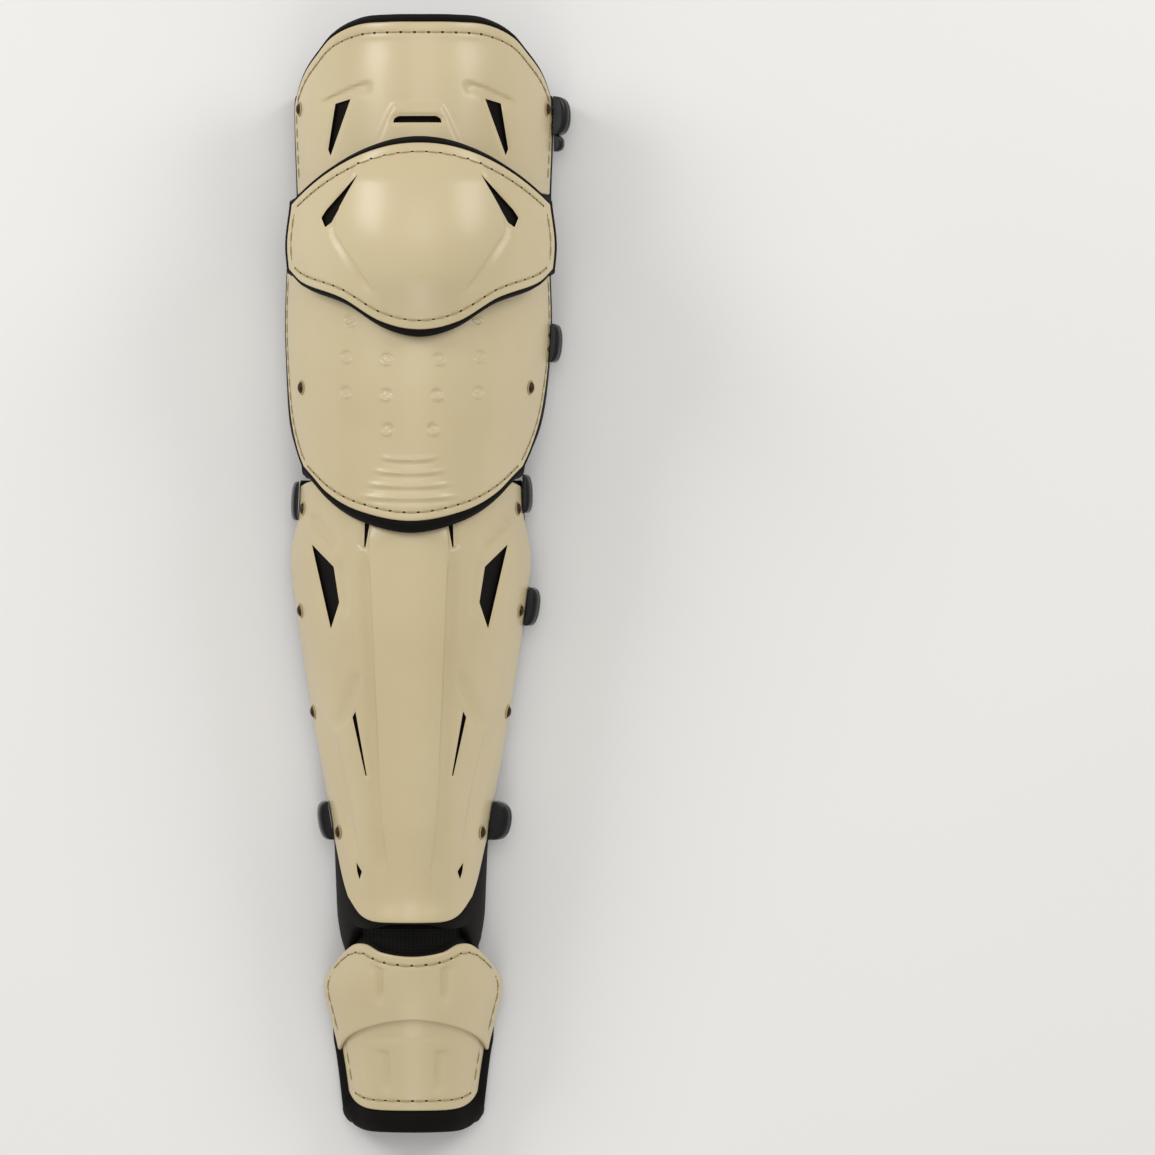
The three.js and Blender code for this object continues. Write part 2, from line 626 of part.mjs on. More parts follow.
// Straps: each runs from side to side behind the leg, between hooks on the right and keepers on the left
const STRAPS = [
  { name: 'thigh', form: THIGH, at: 0.523, hook: 9.9, keeper: 0 },
  { name: 'knee', form: PLATE, at: 0.325, hook: 6.2, keeper: 0 },
  { name: 'shin_top', form: SHIN, at: 0.05, hook: 7, keeper: 3.7 },
  { name: 'shin_mid', form: SHIN, at: 0.29, hook: 7, keeper: 0 },
  { name: 'ankle', form: SHIN, at: 0.777, hook: 11.7, keeper: 7 },
];
const STRAP_STEPS = 3;
function strapPath(form, y, inner, outer) {
  const start = edgeAngle(form, y) + STRAP_BELOW_EDGE / form.half;
  const angles = Array.from({ length: STRAP_STEPS + 1 }, (_, k) =>
    THREE.MathUtils.lerp(start, WHOLE_SIDE, k / STRAP_STEPS));
  const right = angles.map((angle) => [surface(form, y, angle, inner), surface(form, y, angle, outer)]);
  const left = angles.map((angle) => [surface(form, y, -angle, inner), surface(form, y, -angle, outer)]);
  const corner = ([a, b]) => [
    new THREE.Vector3(a.x, y, STRAP_WALL), new THREE.Vector3(b.x, y, 0)];
  return [...left, corner(left[STRAP_STEPS]), corner(right[STRAP_STEPS]), ...right.reverse()];
}
for (const { name, form, at } of STRAPS) {
  const middle = form.top - at * form.length;
  const stations = [0.5, 0, -0.5].map((side) => middle + side * STRAP_WIDTH);
  const paths = stations.map((y) => strapPath(form, y, -SHELL_WALL, STRAP_WALL - SHELL_WALL));
  const side = (k) => paths.map((path) => path.map((pair) => pair[k]));
  add(`${name}_strap`, slab(side(0), side(1)), WEBBING);
}

// Hooks and keepers: moulded blocks that clamp the strap ends on the outside of the shells
const HOOK_OUTLINE = [
  { down: -0.5, out: HOOK_FOOT },
  { down: -0.42, out: 0.8 },
  { down: -0.2, out: 1 },
  { down: 0.16, out: 1 },
  { down: 0.3, out: 0.72 },
  { down: 0.5, out: 0.55 },
  { down: 0.5, out: HOOK_FOOT },
];
function block(reach) {
  const shape = new THREE.Shape(HOOK_OUTLINE.map(({ down, out }) =>
    new THREE.Vector2(down * CLIP_HEIGHT, out * reach)));
  const solid = new THREE.ExtrudeGeometry(shape, {
    depth: CLIP_LENGTH - 2 * CLIP_BEVEL, bevelThickness: CLIP_BEVEL, bevelSize: CLIP_BEVEL / 2,
    bevelOffset: -CLIP_BEVEL / 2, bevelSegments: 2, curveSegments: 1,
  });
  solid.translate(0, -HOOK_FOOT * reach, -CLIP_LENGTH / 2 + CLIP_BEVEL);
  const turned = new THREE.Matrix4().makeBasis(
    new THREE.Vector3(0, 1, 0), new THREE.Vector3(0, 0, 1), new THREE.Vector3(1, 0, 0));
  solid.applyMatrix4(turned);
  solid.deleteAttribute('uv');
  solid.deleteAttribute('normal');
  return mergeVertices(solid, 1e-3);
}
for (const { name, form, at, hook, keeper } of STRAPS) {
  const y = form.top - at * form.length;
  const angle = edgeAngle(form, y) + HOOK_HANG / form.half;
  add(`${name}_hook`, block(hook), PLASTIC).applyMatrix4(seat(form, y, angle, HOOK_SEAT));
  if (keeper) {
    add(`${name}_keeper`, block(keeper), PLASTIC).applyMatrix4(seat(form, y, -angle, HOOK_SEAT));
  }
}

// The origin goes to the middle of the whole, in the plane in which it lies
const box = new THREE.Box3().setFromObject(object);
const centre = box.getCenter(new THREE.Vector3());
object.position.set(-centre.x, -centre.y, -box.min.z);

export default object;
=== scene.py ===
# Catcher leg guard lying on its back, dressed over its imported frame
import math

import bpy
import numpy as np
from mathutils import Matrix, Vector


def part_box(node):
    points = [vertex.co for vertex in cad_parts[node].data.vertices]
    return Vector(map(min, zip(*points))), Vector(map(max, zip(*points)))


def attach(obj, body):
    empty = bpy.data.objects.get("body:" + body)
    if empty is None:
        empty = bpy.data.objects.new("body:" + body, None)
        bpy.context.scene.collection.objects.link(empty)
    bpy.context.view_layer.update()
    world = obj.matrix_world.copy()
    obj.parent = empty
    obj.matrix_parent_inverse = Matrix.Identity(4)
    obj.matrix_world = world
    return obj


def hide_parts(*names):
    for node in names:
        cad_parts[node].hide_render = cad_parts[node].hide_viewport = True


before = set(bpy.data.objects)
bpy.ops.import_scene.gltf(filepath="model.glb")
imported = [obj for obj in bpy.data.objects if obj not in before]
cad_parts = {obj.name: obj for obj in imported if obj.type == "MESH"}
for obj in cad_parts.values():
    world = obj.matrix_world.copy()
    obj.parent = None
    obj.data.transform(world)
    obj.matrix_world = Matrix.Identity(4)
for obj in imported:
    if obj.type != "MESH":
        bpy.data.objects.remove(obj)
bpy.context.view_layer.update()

bl_info = {
    "name": "Catcher Leg Guard",
    "version": (1, 0, 0),
    "blender": (4, 5, 0),
    "location": "View3D > Sidebar > Leg Guard",
    "description": "Builds a catcher leg guard with moulded shells, foam pads, stitching and straps",
    "category": "Add Mesh",
}

MM = 0.001
SIDE_ANGLE = math.radians(80)
HALF_TURN = math.radians(90)


def corner(node, which):
    """One corner of a node's box, in millimetres."""
    return [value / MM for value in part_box(node)[which]]


SHIN_LOW, SHIN_HIGH = corner("shin_shell", 0), corner("shin_shell", 1)
MIDDLE = (SHIN_LOW[0] + SHIN_HIGH[0]) / 2
SHIN_TOP = SHIN_HIGH[1]

# Walls and clearances, in millimetres
GAP = 0.35
SHELL_WALL = 2.6
THIGH_PAD_WALL = 9.0
CAP_PAD_WALL = 14.0
PLATE_PAD_WALL = 9.0
SHIN_PAD_WALL = 7.0
FOOT_PAD_WALL = 6.0
NECK_WALL = 3.0
STRAP_WALL = 2.0
STRAP_WIDTH = 25.0
STRAP_BELOW_EDGE = 2.5
SOLE = STRAP_WALL + GAP
PAD_DEPTH = SHELL_WALL + GAP

# Lengths along the leg, and how far the pieces reach under or past each other
THIGH_LENGTH = 100.8
CAP_LENGTH = 112.1
PLATE_LENGTH = 162.9
SHIN_LENGTH = 272.6
INSTEP_LENGTH = 65.0
TOE_LENGTH = 62.0
NECK_LENGTH = 44.0
THIGH_UNDER_CAP = 25.9
PLATE_UNDER_CAP = 46.2
SHIN_UNDER_PLATE = 25.5
NECK_SHOWN = 16.0
NECK_UNDER_SHIN = 10.0
NECK_SEAT = 0.5
TOE_UNDER_INSTEP = 5.0
INSTEP_ARCH_RISE = 20.5

SHIN_END = SHIN_TOP - SHIN_LENGTH
PLATE_END = SHIN_TOP - SHIN_UNDER_PLATE
PLATE_TOP = PLATE_END + PLATE_LENGTH
CAP_END = PLATE_TOP - PLATE_UNDER_CAP
CAP_TOP = CAP_END + CAP_LENGTH
THIGH_END = CAP_TOP - THIGH_UNDER_CAP
THIGH_TOP = THIGH_END + THIGH_LENGTH
INSTEP_TOP = SHIN_END - NECK_SHOWN
ARCH_END = INSTEP_TOP - INSTEP_LENGTH + INSTEP_ARCH_RISE
TOE_END = ARCH_END + TOE_UNDER_INSTEP - TOE_LENGTH


def smooth(low, high, value):
    """Smoothstep of an array between two values."""
    t = np.clip((np.asarray(value, float) - low) / (high - low), 0.0, 1.0)
    return t * t * (3 - 2 * t)


def column(rows, key, at):
    """One column of a table at places along it, with soft joins between the rows."""
    at = np.asarray(at, float)
    places = np.array([row["at"] for row in rows])
    values = np.array([row[key] for row in rows], float)
    last = len(rows) - 1
    clipped = np.clip(at, places[0], places[-1])
    i = np.clip(np.searchsorted(places, clipped) - 1, 0, last - 1)
    before, after = np.maximum(i - 1, 0), np.minimum(i + 2, last)
    span = places[i + 1] - places[i]
    slope_a = (values[i + 1] - values[before]) / (places[i + 1] - places[before])
    slope_b = (values[after] - values[i]) / (places[after] - places[i])
    t = (clipped - places[i]) / span
    rise = values[i + 1] - values[i]
    return (values[i] + t * slope_a * span * (1 - t) ** 2 + t * t * (3 - 2 * t) * rise
            - t * t * (1 - t) * slope_b * span)


def table(names, *rows):
    """Rows of a table under their column names."""
    keys = names.split()
    return [dict(zip(keys, row)) for row in rows]


class Form:
    """The half ellipse of the leg under one piece, from its top end to its lower end."""

    def __init__(self, top, length, half, height, sideways, base, rows, angle=SIDE_ANGLE):
        self.top, self.length, self.half, self.height = top, length, half, height
        self.sideways, self.base, self.rows, self.angle = sideways, base, rows, angle

    def share(self, y):
        return (self.top - np.asarray(y, float)) / self.length

    def edge(self, y):
        return column(self.rows, "angle", self.share(y)) * self.angle

    def middle(self, y):
        return MIDDLE + column(self.rows, "lean", self.share(y)) * self.sideways

    def girth(self, y):
        return column(self.rows, "girth", self.share(y)) * self.half

    def section(self, y, angle):
        crest = column(self.rows, "crest", self.share(y)) * self.height - self.base
        x = self.middle(y) + self.girth(y) * np.sin(angle)
        return np.stack([x, np.broadcast_to(y, x.shape), self.base + crest * np.cos(angle)], -1)

    def outward(self, y, angle):
        step = 0.01
        across = self.section(y, angle + step) - self.section(y, angle - step)
        along = self.section(y + 1, angle) - self.section(y - 1, angle)
        normal = np.cross(across, along)
        return normal / np.linalg.norm(normal, axis=-1, keepdims=True)

    def surface(self, y, angle, offset):
        normal = self.outward(y, angle)
        normal[..., 1] = 0
        normal /= np.linalg.norm(normal, axis=-1, keepdims=True)
        return self.section(y, angle) + normal * np.asarray(offset)[..., None]


ROW = "at girth crest angle lean"
THIGH = Form(THIGH_TOP, THIGH_LENGTH, 81.2, 112, 8, SOLE, table(
    ROW, (0, 0.97, 0.93, 1, 1), (0.45, 1, 0.97, 1, 1), (1, 0.985, 1, 0.97, 1)))
CAP = Form(CAP_TOP, CAP_LENGTH, 93.3, 141, 7, SOLE, table(
    ROW, (0, 0.97, 0.89, 0.94, 1), (0.3, 0.985, 0.97, 0.965, 1), (0.52, 1, 1, 1, 1),
    (0.7, 0.99, 0.985, 0.985, 1), (1, 0.97, 0.9, 0.95, 1)), math.radians(62))
PLATE = Form(PLATE_TOP, PLATE_LENGTH, 83.5, 116, 4.6, SOLE, table(
    ROW, (0, 0.985, 0.95, 1, 1), (0.25, 1, 0.985, 1, 1), (0.43, 0.985, 1, 0.985, 0.9),
    (0.6, 0.96, 1, 0.94, 0.7), (0.73, 0.935, 0.995, 0.84, 0.5), (0.85, 0.905, 0.985, 0.72, 0.38),
    (1, 0.875, 0.975, 0.66, 0.33)))
SHIN = Form(SHIN_TOP, SHIN_LENGTH, 75.6, 101, 0, SOLE, table(
    ROW, (0, 0.925, 1, 1, 0), (0.08, 0.94, 1, 1, 0), (0.167, 1, 0.995, 1, 0),
    (0.24, 0.985, 0.985, 1, 0), (0.35, 0.93, 0.965, 1, 0), (0.565, 0.805, 0.905, 1, 0),
    (0.782, 0.668, 0.83, 0.965, 0), (0.84, 0.655, 0.81, 0.85, 0), (0.91, 0.648, 0.795, 0.725, 0),
    (0.963, 0.642, 0.79, 0.62, 0), (1, 0.635, 0.8, 0.58, 0)))
FOOT = Form(INSTEP_TOP, INSTEP_TOP - TOE_END, 54.6, 73, 1.4, 0, table(
    ROW, (0, 0.86, 1, 0.96, 1), (0.14, 0.955, 0.955, 0.965, 1), (0.26, 1, 0.9, 0.965, 1),
    (0.42, 0.93, 0.83, 0.955, 1), (0.65, 0.83, 0.73, 0.94, 1), (1, 0.75, 0.6, 0.88, 1)))
NECK_DEEP = SHELL_WALL + SHIN_PAD_WALL + 2 * GAP + NECK_SEAT
NECK = Form(SHIN_END + NECK_UNDER_SHIN, NECK_LENGTH, 0.635 * 75.6 - NECK_DEEP, 0.8 * 101 - NECK_DEEP,
            1.4, SOLE, table(ROW, (0, 1, 1, 1, 0), (0.4, 0.99, 0.99, 1, 0.3), (0.75, 1.02, 0.97, 1, 0.8),
                             (1, 1.04, 0.93, 1, 1)))

# End edges of the shells, against the share u from the middle to the side
TOP_CORNER = table("at drop", (0, 0), (0.2, 0), (0.38, 0.025), (0.565, 0.17), (0.685, 0.38), (0.81, 0.59),
                   (0.91, 0.8), (1, 1))
CAP_BOTTOM = table("at rise", (-0.258, 0.136), (0, 0), (0.258, 0.136), (0.526, 0.515), (0.862, 0.782), (1, 1))
PLATE_BOTTOM = table("at rise", (-0.49, 0.19), (0, 0), (0.49, 0.19), (0.81, 0.54), (1, 1))
INSTEP_PEAKS = table("at drop", (-0.3, 0.25), (0, 0.37), (0.3, 0.25), (0.52, 0), (0.72, 0.12), (1, 1))
CORNER_DROP, CAP_RISE, PLATE_RISE, PEAK_DROP = 46.8, 38.2, 33.5, 20.0
CAP_TOP_RADIUS = 113.8


def cap_top(u):
    """The arc over the knee cap."""
    return CAP_TOP - CAP_TOP_RADIUS + np.sqrt(
        CAP_TOP_RADIUS ** 2 - (CAP.half * np.sin(u * CAP.angle)) ** 2)


def instep_end(u):
    """The arch of the instep shell over the toe shell."""
    return ARCH_END - INSTEP_ARCH_RISE * u ** 1.7


def level(value):
    """An end edge that runs straight across."""
    return lambda u: value + 0 * u


def as_object(name, points, faces, material=None, sharp=None):
    """A mesh object from millimetre points, shaded smooth but for edges past the sharp angle."""
    mesh = bpy.data.meshes.new(name)
    mesh.from_pydata((np.asarray(points) * MM).tolist(), [], [list(map(int, f)) for f in faces])
    mesh.update()
    mesh.polygons.foreach_set("use_smooth", [True] * len(mesh.polygons))
    if sharp:
        mesh.set_sharp_from_angle(angle=math.radians(sharp))
    piece = bpy.data.objects.new(name, mesh)
    bpy.context.collection.objects.link(piece)
    if material:
        mesh.materials.append(material)
    return piece


def slab(outer, inner, roll=0.0, rounds=0):
    """Points and faces of a closed sheet between two grids, with a rounded edge if asked."""
    rows, columns = outer.shape[:2]
    index = np.arange(rows * columns).reshape(rows, columns)
    border = np.concatenate([index[0, :-1], index[:-1, -1], index[-1, :0:-1], index[:0:-1, 0]])
    a, b, c, d = index[:-1, :-1], index[1:, :-1], index[1:, 1:], index[:-1, 1:]
    quads = np.stack([a, b, c, d], -1).reshape(-1, 4)
    half = rows * columns
    points = [outer.reshape(-1, 3), inner.reshape(-1, 3)]
    faces = [quads, quads[:, ::-1] + half]
    top, low = points[0][border], points[1][border]
    loops = [border]
    count = 2 * half
    if rounds:
        flat = np.roll(top, -1, 0) - np.roll(top, 1, 0)
        through = low - top
        away = np.cross(flat, through)
        away /= np.maximum(np.linalg.norm(away, axis=1, keepdims=True), 1e-9)
        for k in range(1, rounds + 1):
            turn = math.pi * k / (rounds + 1)
            share = (1 - math.cos(turn)) / 2
            points.append(top + through * share + away * roll * math.sin(turn))
            loops.append(np.arange(count, count + len(border)))
            count += len(border)
    loops.append(border + half)
    for upper, lower in zip(loops[:-1], loops[1:]):
        faces.append(np.stack([np.roll(upper, -1), np.roll(lower, -1), lower, upper], -1))
    return np.concatenate(points), np.concatenate(faces)


def stations(form, top, bottom, columns, rows, reach=None):
    """Grids of y and angle for a panel of a form."""
    u = np.linspace(-1, 1, columns + 1)[None, :]
    v = np.linspace(0, 1, rows + 1)[:, None]
    y = top(np.abs(u)) * (1 - v) + bottom(np.abs(u)) * v
    edge = form.edge(y) if reach is None else reach(form, y)
    return y, u * edge


def distance_to(x, y, corners, closed=True):
    """Distance from points to a chain of corners, negative inside where it is closed."""
    best = np.full(x.shape, 1e9)
    inside = np.zeros(x.shape, bool)
    pairs = list(zip(corners, corners[1:]))
    if closed:
        pairs.append((corners[-1], corners[0]))
    for (ax, ay), (bx, by) in pairs:
        dx, dy = bx - ax, by - ay
        t = np.clip(((x - ax) * dx + (y - ay) * dy) / (dx * dx + dy * dy), 0, 1)
        best = np.minimum(best, np.hypot(x - ax - t * dx, y - ay - t * dy))
        if closed and ay != by:
            cross = (ay > y) != (by > y)
            inside ^= cross & (x < (bx - ax) * (y - ay) / (by - ay) + ax)
    return np.where(inside, -best, best)


# Reliefs, in millimetres from the middle line of a shell and down from the top of its form

class Crease:
    """A moulded valley along a chain of points, sharp on one flank and soft on the other."""

    def __init__(self, points, depth, sharp=1.1, soft=4.0, flank=1, mirror=True, fade=6.0):
        self.points, self.depth, self.sharp, self.soft = points, depth, sharp, soft
        self.flank, self.mirror, self.fade = flank, mirror, fade

    def height(self, x, down):
        x = np.abs(x) if self.mirror else x
        best = np.full(x.shape, 1e9)
        signed = np.zeros(x.shape)
        place = np.zeros(x.shape)
        total = 0.0
        for (ax, ay), (bx, by) in zip(self.points, self.points[1:]):
            dx, dy = bx - ax, by - ay
            length = math.hypot(dx, dy)
            t = np.clip(((x - ax) * dx + (down - ay) * dy) / length ** 2, 0, 1)
            gap = np.hypot(x - ax - t * dx, down - ay - t * dy)
            side = np.sign((x - ax) * dy - (down - ay) * dx) * self.flank
            near = gap < best
            best = np.where(near, gap, best)
            signed = np.where(near, gap * side, signed)
            place = np.where(near, total + t * length, place)
            total += length
        width = np.where(signed > 0, self.soft, self.sharp)
        ends = smooth(0, self.fade, place) * smooth(0, self.fade, total - place)
        return -self.depth * np.exp(-(signed / width) ** 2) * ends


class Raised:
    """A raised field inside a ring of corners, with a bevel of its own width."""

    def __init__(self, corners, height, bevel, mirror=True, fade=None):
        self.corners, self.rise, self.bevel = corners, height, bevel
        self.mirror, self.fade = mirror, fade

    def height(self, x, down):
        x = np.abs(x) if self.mirror else x
        rise = self.rise * smooth(0, self.bevel, -distance_to(x, down, self.corners))
        if self.fade:
            start, full, rest, end = self.fade
            rise = rise * smooth(start, full, down) * (1 - smooth(rest, end, down))
        return rise


class Dimples:
    """Small crescent marks: a bump with a hollow under its rounded lip."""

    def __init__(self, places, radius, height):
        self.places, self.radius, self.rise = places, radius, height

    def height(self, x, down):
        total = np.zeros(x.shape)
        for px, py in self.places:
            for side in (-1, 1):
                away = np.hypot(x - side * px, down - py)
                above = np.hypot(x - side * px, down - py + self.radius * 0.55)
                total += self.rise * (1 - smooth(self.radius * 0.7, self.radius, away))
                total -= self.rise * 1.25 * (1 - smooth(self.radius * 0.7, self.radius * 1.05, above))
        return total


class Ribs:
    """Low arched ribs, one above the other."""

    def __init__(self, rows, sag, height, width):
        self.rows, self.sag, self.rise, self.width = rows, sag, height, width

    def height(self, x, down):
        total = np.zeros(x.shape)
        for place, half in self.rows:
            line = place + self.sag * (1 - (x / half) ** 2)
            ends = 1 - smooth(half * 0.5, half, np.abs(x))
            away = down - line
            total += self.rise * np.exp(-(away / self.width) ** 2) * ends
            total -= 0.6 * self.rise * np.exp(-((away - 2 * self.width) / self.width) ** 2) * ends
        return total


def groove(x, down, chains, depth=0.45, width=1.3):
    """The shallow channel that a row of stitches lies in."""
    away = np.full(x.shape, 1e9)
    for chain in chains:
        away = np.minimum(away, distance_to(x, down, chain, closed=False))
    return -depth * np.exp(-(away / width) ** 2)


def vent_lip(x, down, corners, mirror=True, width=2.4, depth=0.9):
    """The surface rolls down a little towards the edge of a vent."""
    x = np.abs(x) if mirror else x
    away = distance_to(x, down, corners)
    return -depth * (1 - smooth(0, width, np.maximum(away, 0))) ** 2


THIGH_VENT = [(41.3, 45.6), (50.9, 48.1), (55.4, 76.1), (53.9, 80.1)]
THIGH_SLOT = [(-14.9, 61.0), (-14.2, 58.4), (-11.5, 56.9), (11.5, 56.9), (14.2, 58.4), (14.9, 61.0)]
CAP_VENT = [(37.6, 18.4), (57.2, 39.4), (60.4, 44.2), (58.0, 50.2), (54.0, 47.4), (44.6, 30.4)]
SHIN_VENT = [(60.4, 40.8), (46.5, 54.6), (43.1, 76.6), (48.4, 92.8)]
SHIN_SLIT = [(23.6, 26.0), (27.0, 26.0), (27.5, 42.5), (26.6, 42.5)]
SHIN_BLADE = [(33.1, 143.6), (35.0, 147.2), (27.0, 183.2), (26.2, 183.2)]
SHIN_DIAMOND = [(33.0, 237.0), (32.4, 242.8), (31.0, 247.4), (29.4, 242.6)]

RELIEFS = {
    "thigh_shell": [
        Raised([(-40, 48.5), (15.6, 48.5), (19.0, 55.0), (44.0, 112.0), (-40, 112.0)], 1.8, 3.4),
        Crease([(28.6, 35.6), (41.0, 39.0), (61.0, 47.4)], 2.2, sharp=0.9, soft=4.6, flank=-1),
        Crease([(28.2, 35.4), (32.2, 44.0)], 0.9, sharp=1.0, soft=2.6, fade=4.0),
        Crease([(-60, 11), (60, 11)], 0.7, sharp=4.0, soft=12.0, fade=22.0, flank=-1, mirror=False),
    ],
    "knee_cap_shell": [
        Raised([(-60, -30), (30.0, -20), (41.5, 12.0), (50.0, 36.0), (53.5, 50.0), (51.5, 57.5), (27.5, 93.0),
                (18.0, 125), (-60, 125)], 3.6, 4.2, fade=(6, 24, 78, 106)),
        Crease([(44.5, 26.0), (52.4, 47.0), (51.4, 55.0), (28.0, 93.0)], 3.6, sharp=1.1, soft=3.4, fade=16.0),
    ],
    "knee_plate_shell": [
        Dimples([(39.0, 42.5), (41.0, 64.5), (15.8, 66.2), (40.6, 86.4), (15.6, 88.0), (13.8, 109.2)],
                3.4, 1.1),
        Ribs([(124.4, 20.0), (132.6, 25.0), (140.6, 30.0), (148.0, 35.0)], 2.2, 1.1, 1.3),
    ],
    "shin_shell": [
        Raised([(-60, -20), (26.0, -20), (25.2, 46), (18.2, 198.0), (13.0, 262.0), (-60, 262)], 3.2, 2.6,
               fade=(20, 40, 210, 262)),
        Crease([(25.8, 44.0), (18.8, 198.0), (14.0, 246.0)], 2.7, sharp=1.1, soft=4.4, fade=16.0),
        Crease([(24.9, 22.0), (27.2, 44.0)], 1.5, sharp=2.4, soft=3.6, fade=3.0),
        Crease([(22.0, 47.6), (27.0, 46.2), (32.5, 41.6)], -0.6, sharp=0.9, soft=1.4, fade=5.0),
        Crease([(66.0, 22.0), (56.0, 32.5), (44.0, 45.4)], 3.0, sharp=1.0, soft=5.0, fade=9.0, flank=-1),
        Crease([(42.8, 48.0), (39.4, 62.0), (38.6, 88.0)], 1.9, sharp=1.2, soft=4.6, fade=10.0),
        Crease([(29.6, 118.0), (32.6, 130.0), (38.4, 143.5), (45.6, 157.0)], 3.2, sharp=1.0, soft=4.6,
               fade=9.0),
        Crease([(36.8, 141.0), (41.6, 152.0)], 1.0, sharp=0.8, soft=2.2, fade=3.0, flank=-1),
        Crease([(48.5, 152.0), (39.5, 193.0), (32.5, 234.0)], 2.2, sharp=1.0, soft=4.5, fade=18.0),
        Crease([(57.0, 142.0), (46.5, 186.0), (37.0, 226.0)], 1.4, sharp=0.9, soft=5.0, fade=18.0, flank=-1),
        Crease([(25.4, 150.0), (21.0, 190.0), (17.6, 232.0)], 0.8, sharp=1.2, soft=4.0, fade=16.0),
        Raised([(-90, 259.0), (90, 259.0), (90, 300), (-90, 300)], 0.8, 12.0, mirror=False),
    ],
    "instep_shell": [
        Crease([(27.2, 9.2), (18.8, 15.0), (17.4, 38.5)], 3.2, sharp=1.0, soft=3.6, fade=12.0),
    ],
    "toe_shell": [
        Crease([(25.4, 65.0), (15.4, 67.0), (14.2, 93.5)], 3.2, sharp=1.0, soft=3.6, fade=12.0),
        Crease([(-40, 59.0), (-16, 57.0), (16.0, 57.0), (40.0, 59.0)], 0.6, sharp=2.0, soft=5.0, fade=18.0,
               mirror=False),
    ],
}
VENTS = {
    "thigh_shell": [(THIGH_VENT, True), (THIGH_SLOT, False)],
    "knee_cap_shell": [(CAP_VENT, True)],
    "shin_shell": [(SHIN_VENT, True), (SHIN_SLIT, True), (SHIN_BLADE, True), (SHIN_DIAMOND, True)],
}
SHIFTS = {"thigh_shell": -2.5, "knee_plate_shell": -1.6}

# Where each shell lies on its form, its mesh size and which edges are stitched
SHELLS = {
    "thigh_shell": dict(form=THIGH, columns=150, rows=84, stitched=("top", "sides"), inset=5.2,
                        top=lambda u: THIGH_TOP - column(TOP_CORNER, "drop", u) * CORNER_DROP,
                        bottom=level(THIGH_END), side_end=THIGH_END + 4.0),
    "knee_cap_shell": dict(form=CAP, columns=150, rows=100, stitched=("top", "sides", "bottom"), inset=4.4,
                           top=cap_top,
                           bottom=lambda u: CAP_END + column(CAP_BOTTOM, "rise", u) * CAP_RISE),
    "knee_plate_shell": dict(form=PLATE, columns=200, rows=176, stitched=("sides", "bottom"), inset=4.0,
                             top=lambda u: PLATE_TOP - 6 * u ** 2,
                             bottom=lambda u: PLATE_END + column(PLATE_BOTTOM, "rise", u) * PLATE_RISE),
    "shin_shell": dict(form=SHIN, columns=170, rows=200, stitched=(), inset=4.0,
                       top=lambda u: SHIN_TOP - 6 * u ** 3, bottom=lambda u: SHIN_END + 15 * u ** 6),
    "instep_shell": dict(form=FOOT, columns=100, rows=56, stitched=("top", "sides"), inset=4.6,
                         side_inset=8.5, bottom=instep_end,
                         top=lambda u: INSTEP_TOP - column(INSTEP_PEAKS, "drop", u) * PEAK_DROP),
    "toe_shell": dict(form=FOOT, columns=90, rows=56, stitched=("sides", "bottom"), inset=5.0,
                      side_inset=8.5, top=lambda u: instep_end(u) + TOE_UNDER_INSTEP,
                      bottom=lambda u: TOE_END + 10 * u ** 5),
}
LAP = SHELL_WALL + GAP
LAP_RAMP = 46.0
DEEPEST = 2.5
LEAST_WALL, SHELL_ROLL = 0.55, 0.45  # shares of the wall: what a valley leaves, and the roll of the edge
VENT_TOOL_LOW, VENT_TOOL_HIGH, VENT_SHARP = 15.0, 170.0, 38


def lift(name, y):
    """How far the instep shell stands over its form, to lap over the toe shell."""
    if name != "instep_shell":
        return 0 * y
    return LAP * (1 - smooth(ARCH_END + 1.4 * TOE_UNDER_INSTEP, ARCH_END + LAP_RAMP, y))


def stitch_lines(name):
    """The rows of stitches on a shell, as chains of y and angle, inset from its edges."""
    s = SHELLS[name]
    form, inset = s["form"], s["inset"]
    side_inset = s.get("side_inset", inset)
    reach = 1 - side_inset / (form.half * form.angle)
    u = np.linspace(-reach, reach, 120)
    lines = []
    ends = {}
    for key, edge, step in (("top", s["top"], -inset), ("bottom", s["bottom"], inset)):
        y = edge(np.abs(u)) + step
        ends[key] = y
        if key in s["stitched"]:
            lines.append(np.stack([y, u * form.edge(y)], -1))
    if "sides" in s["stitched"]:
        first, last = ends["top"][0], s.get("side_end", ends["bottom"][0])
        y = np.linspace(first, last, 60)
        side = form.edge(y) - side_inset / form.half
        lines += [np.stack([y, side], -1), np.stack([y, -side], -1)]
    return lines


def shell_height(name, x, y):
    """Height of a shell's outer face over its form, for front view places x from the middle and y."""
    form = SHELLS[name]["form"]
    down = form.top - y
    across = x - SHIFTS.get(name, 0.0)
    total = lift(name, y)
    for relief in RELIEFS.get(name, []):
        total = total + relief.height(across, down)
    for corners, mirrored in VENTS.get(name, []):
        total = total + vent_lip(across, down, corners, mirrored)
    return np.where(total < 0, -DEEPEST * np.tanh(-total / DEEPEST), total)


def shell_point(name, y, angle, extra=0.0):
    """Points on the finished outer face of a shell."""
    form = SHELLS[name]["form"]
    flat = form.section(y, angle)
    height = shell_height(name, flat[..., 0] - form.middle(y), y)
    return form.surface(y, angle, height + extra)


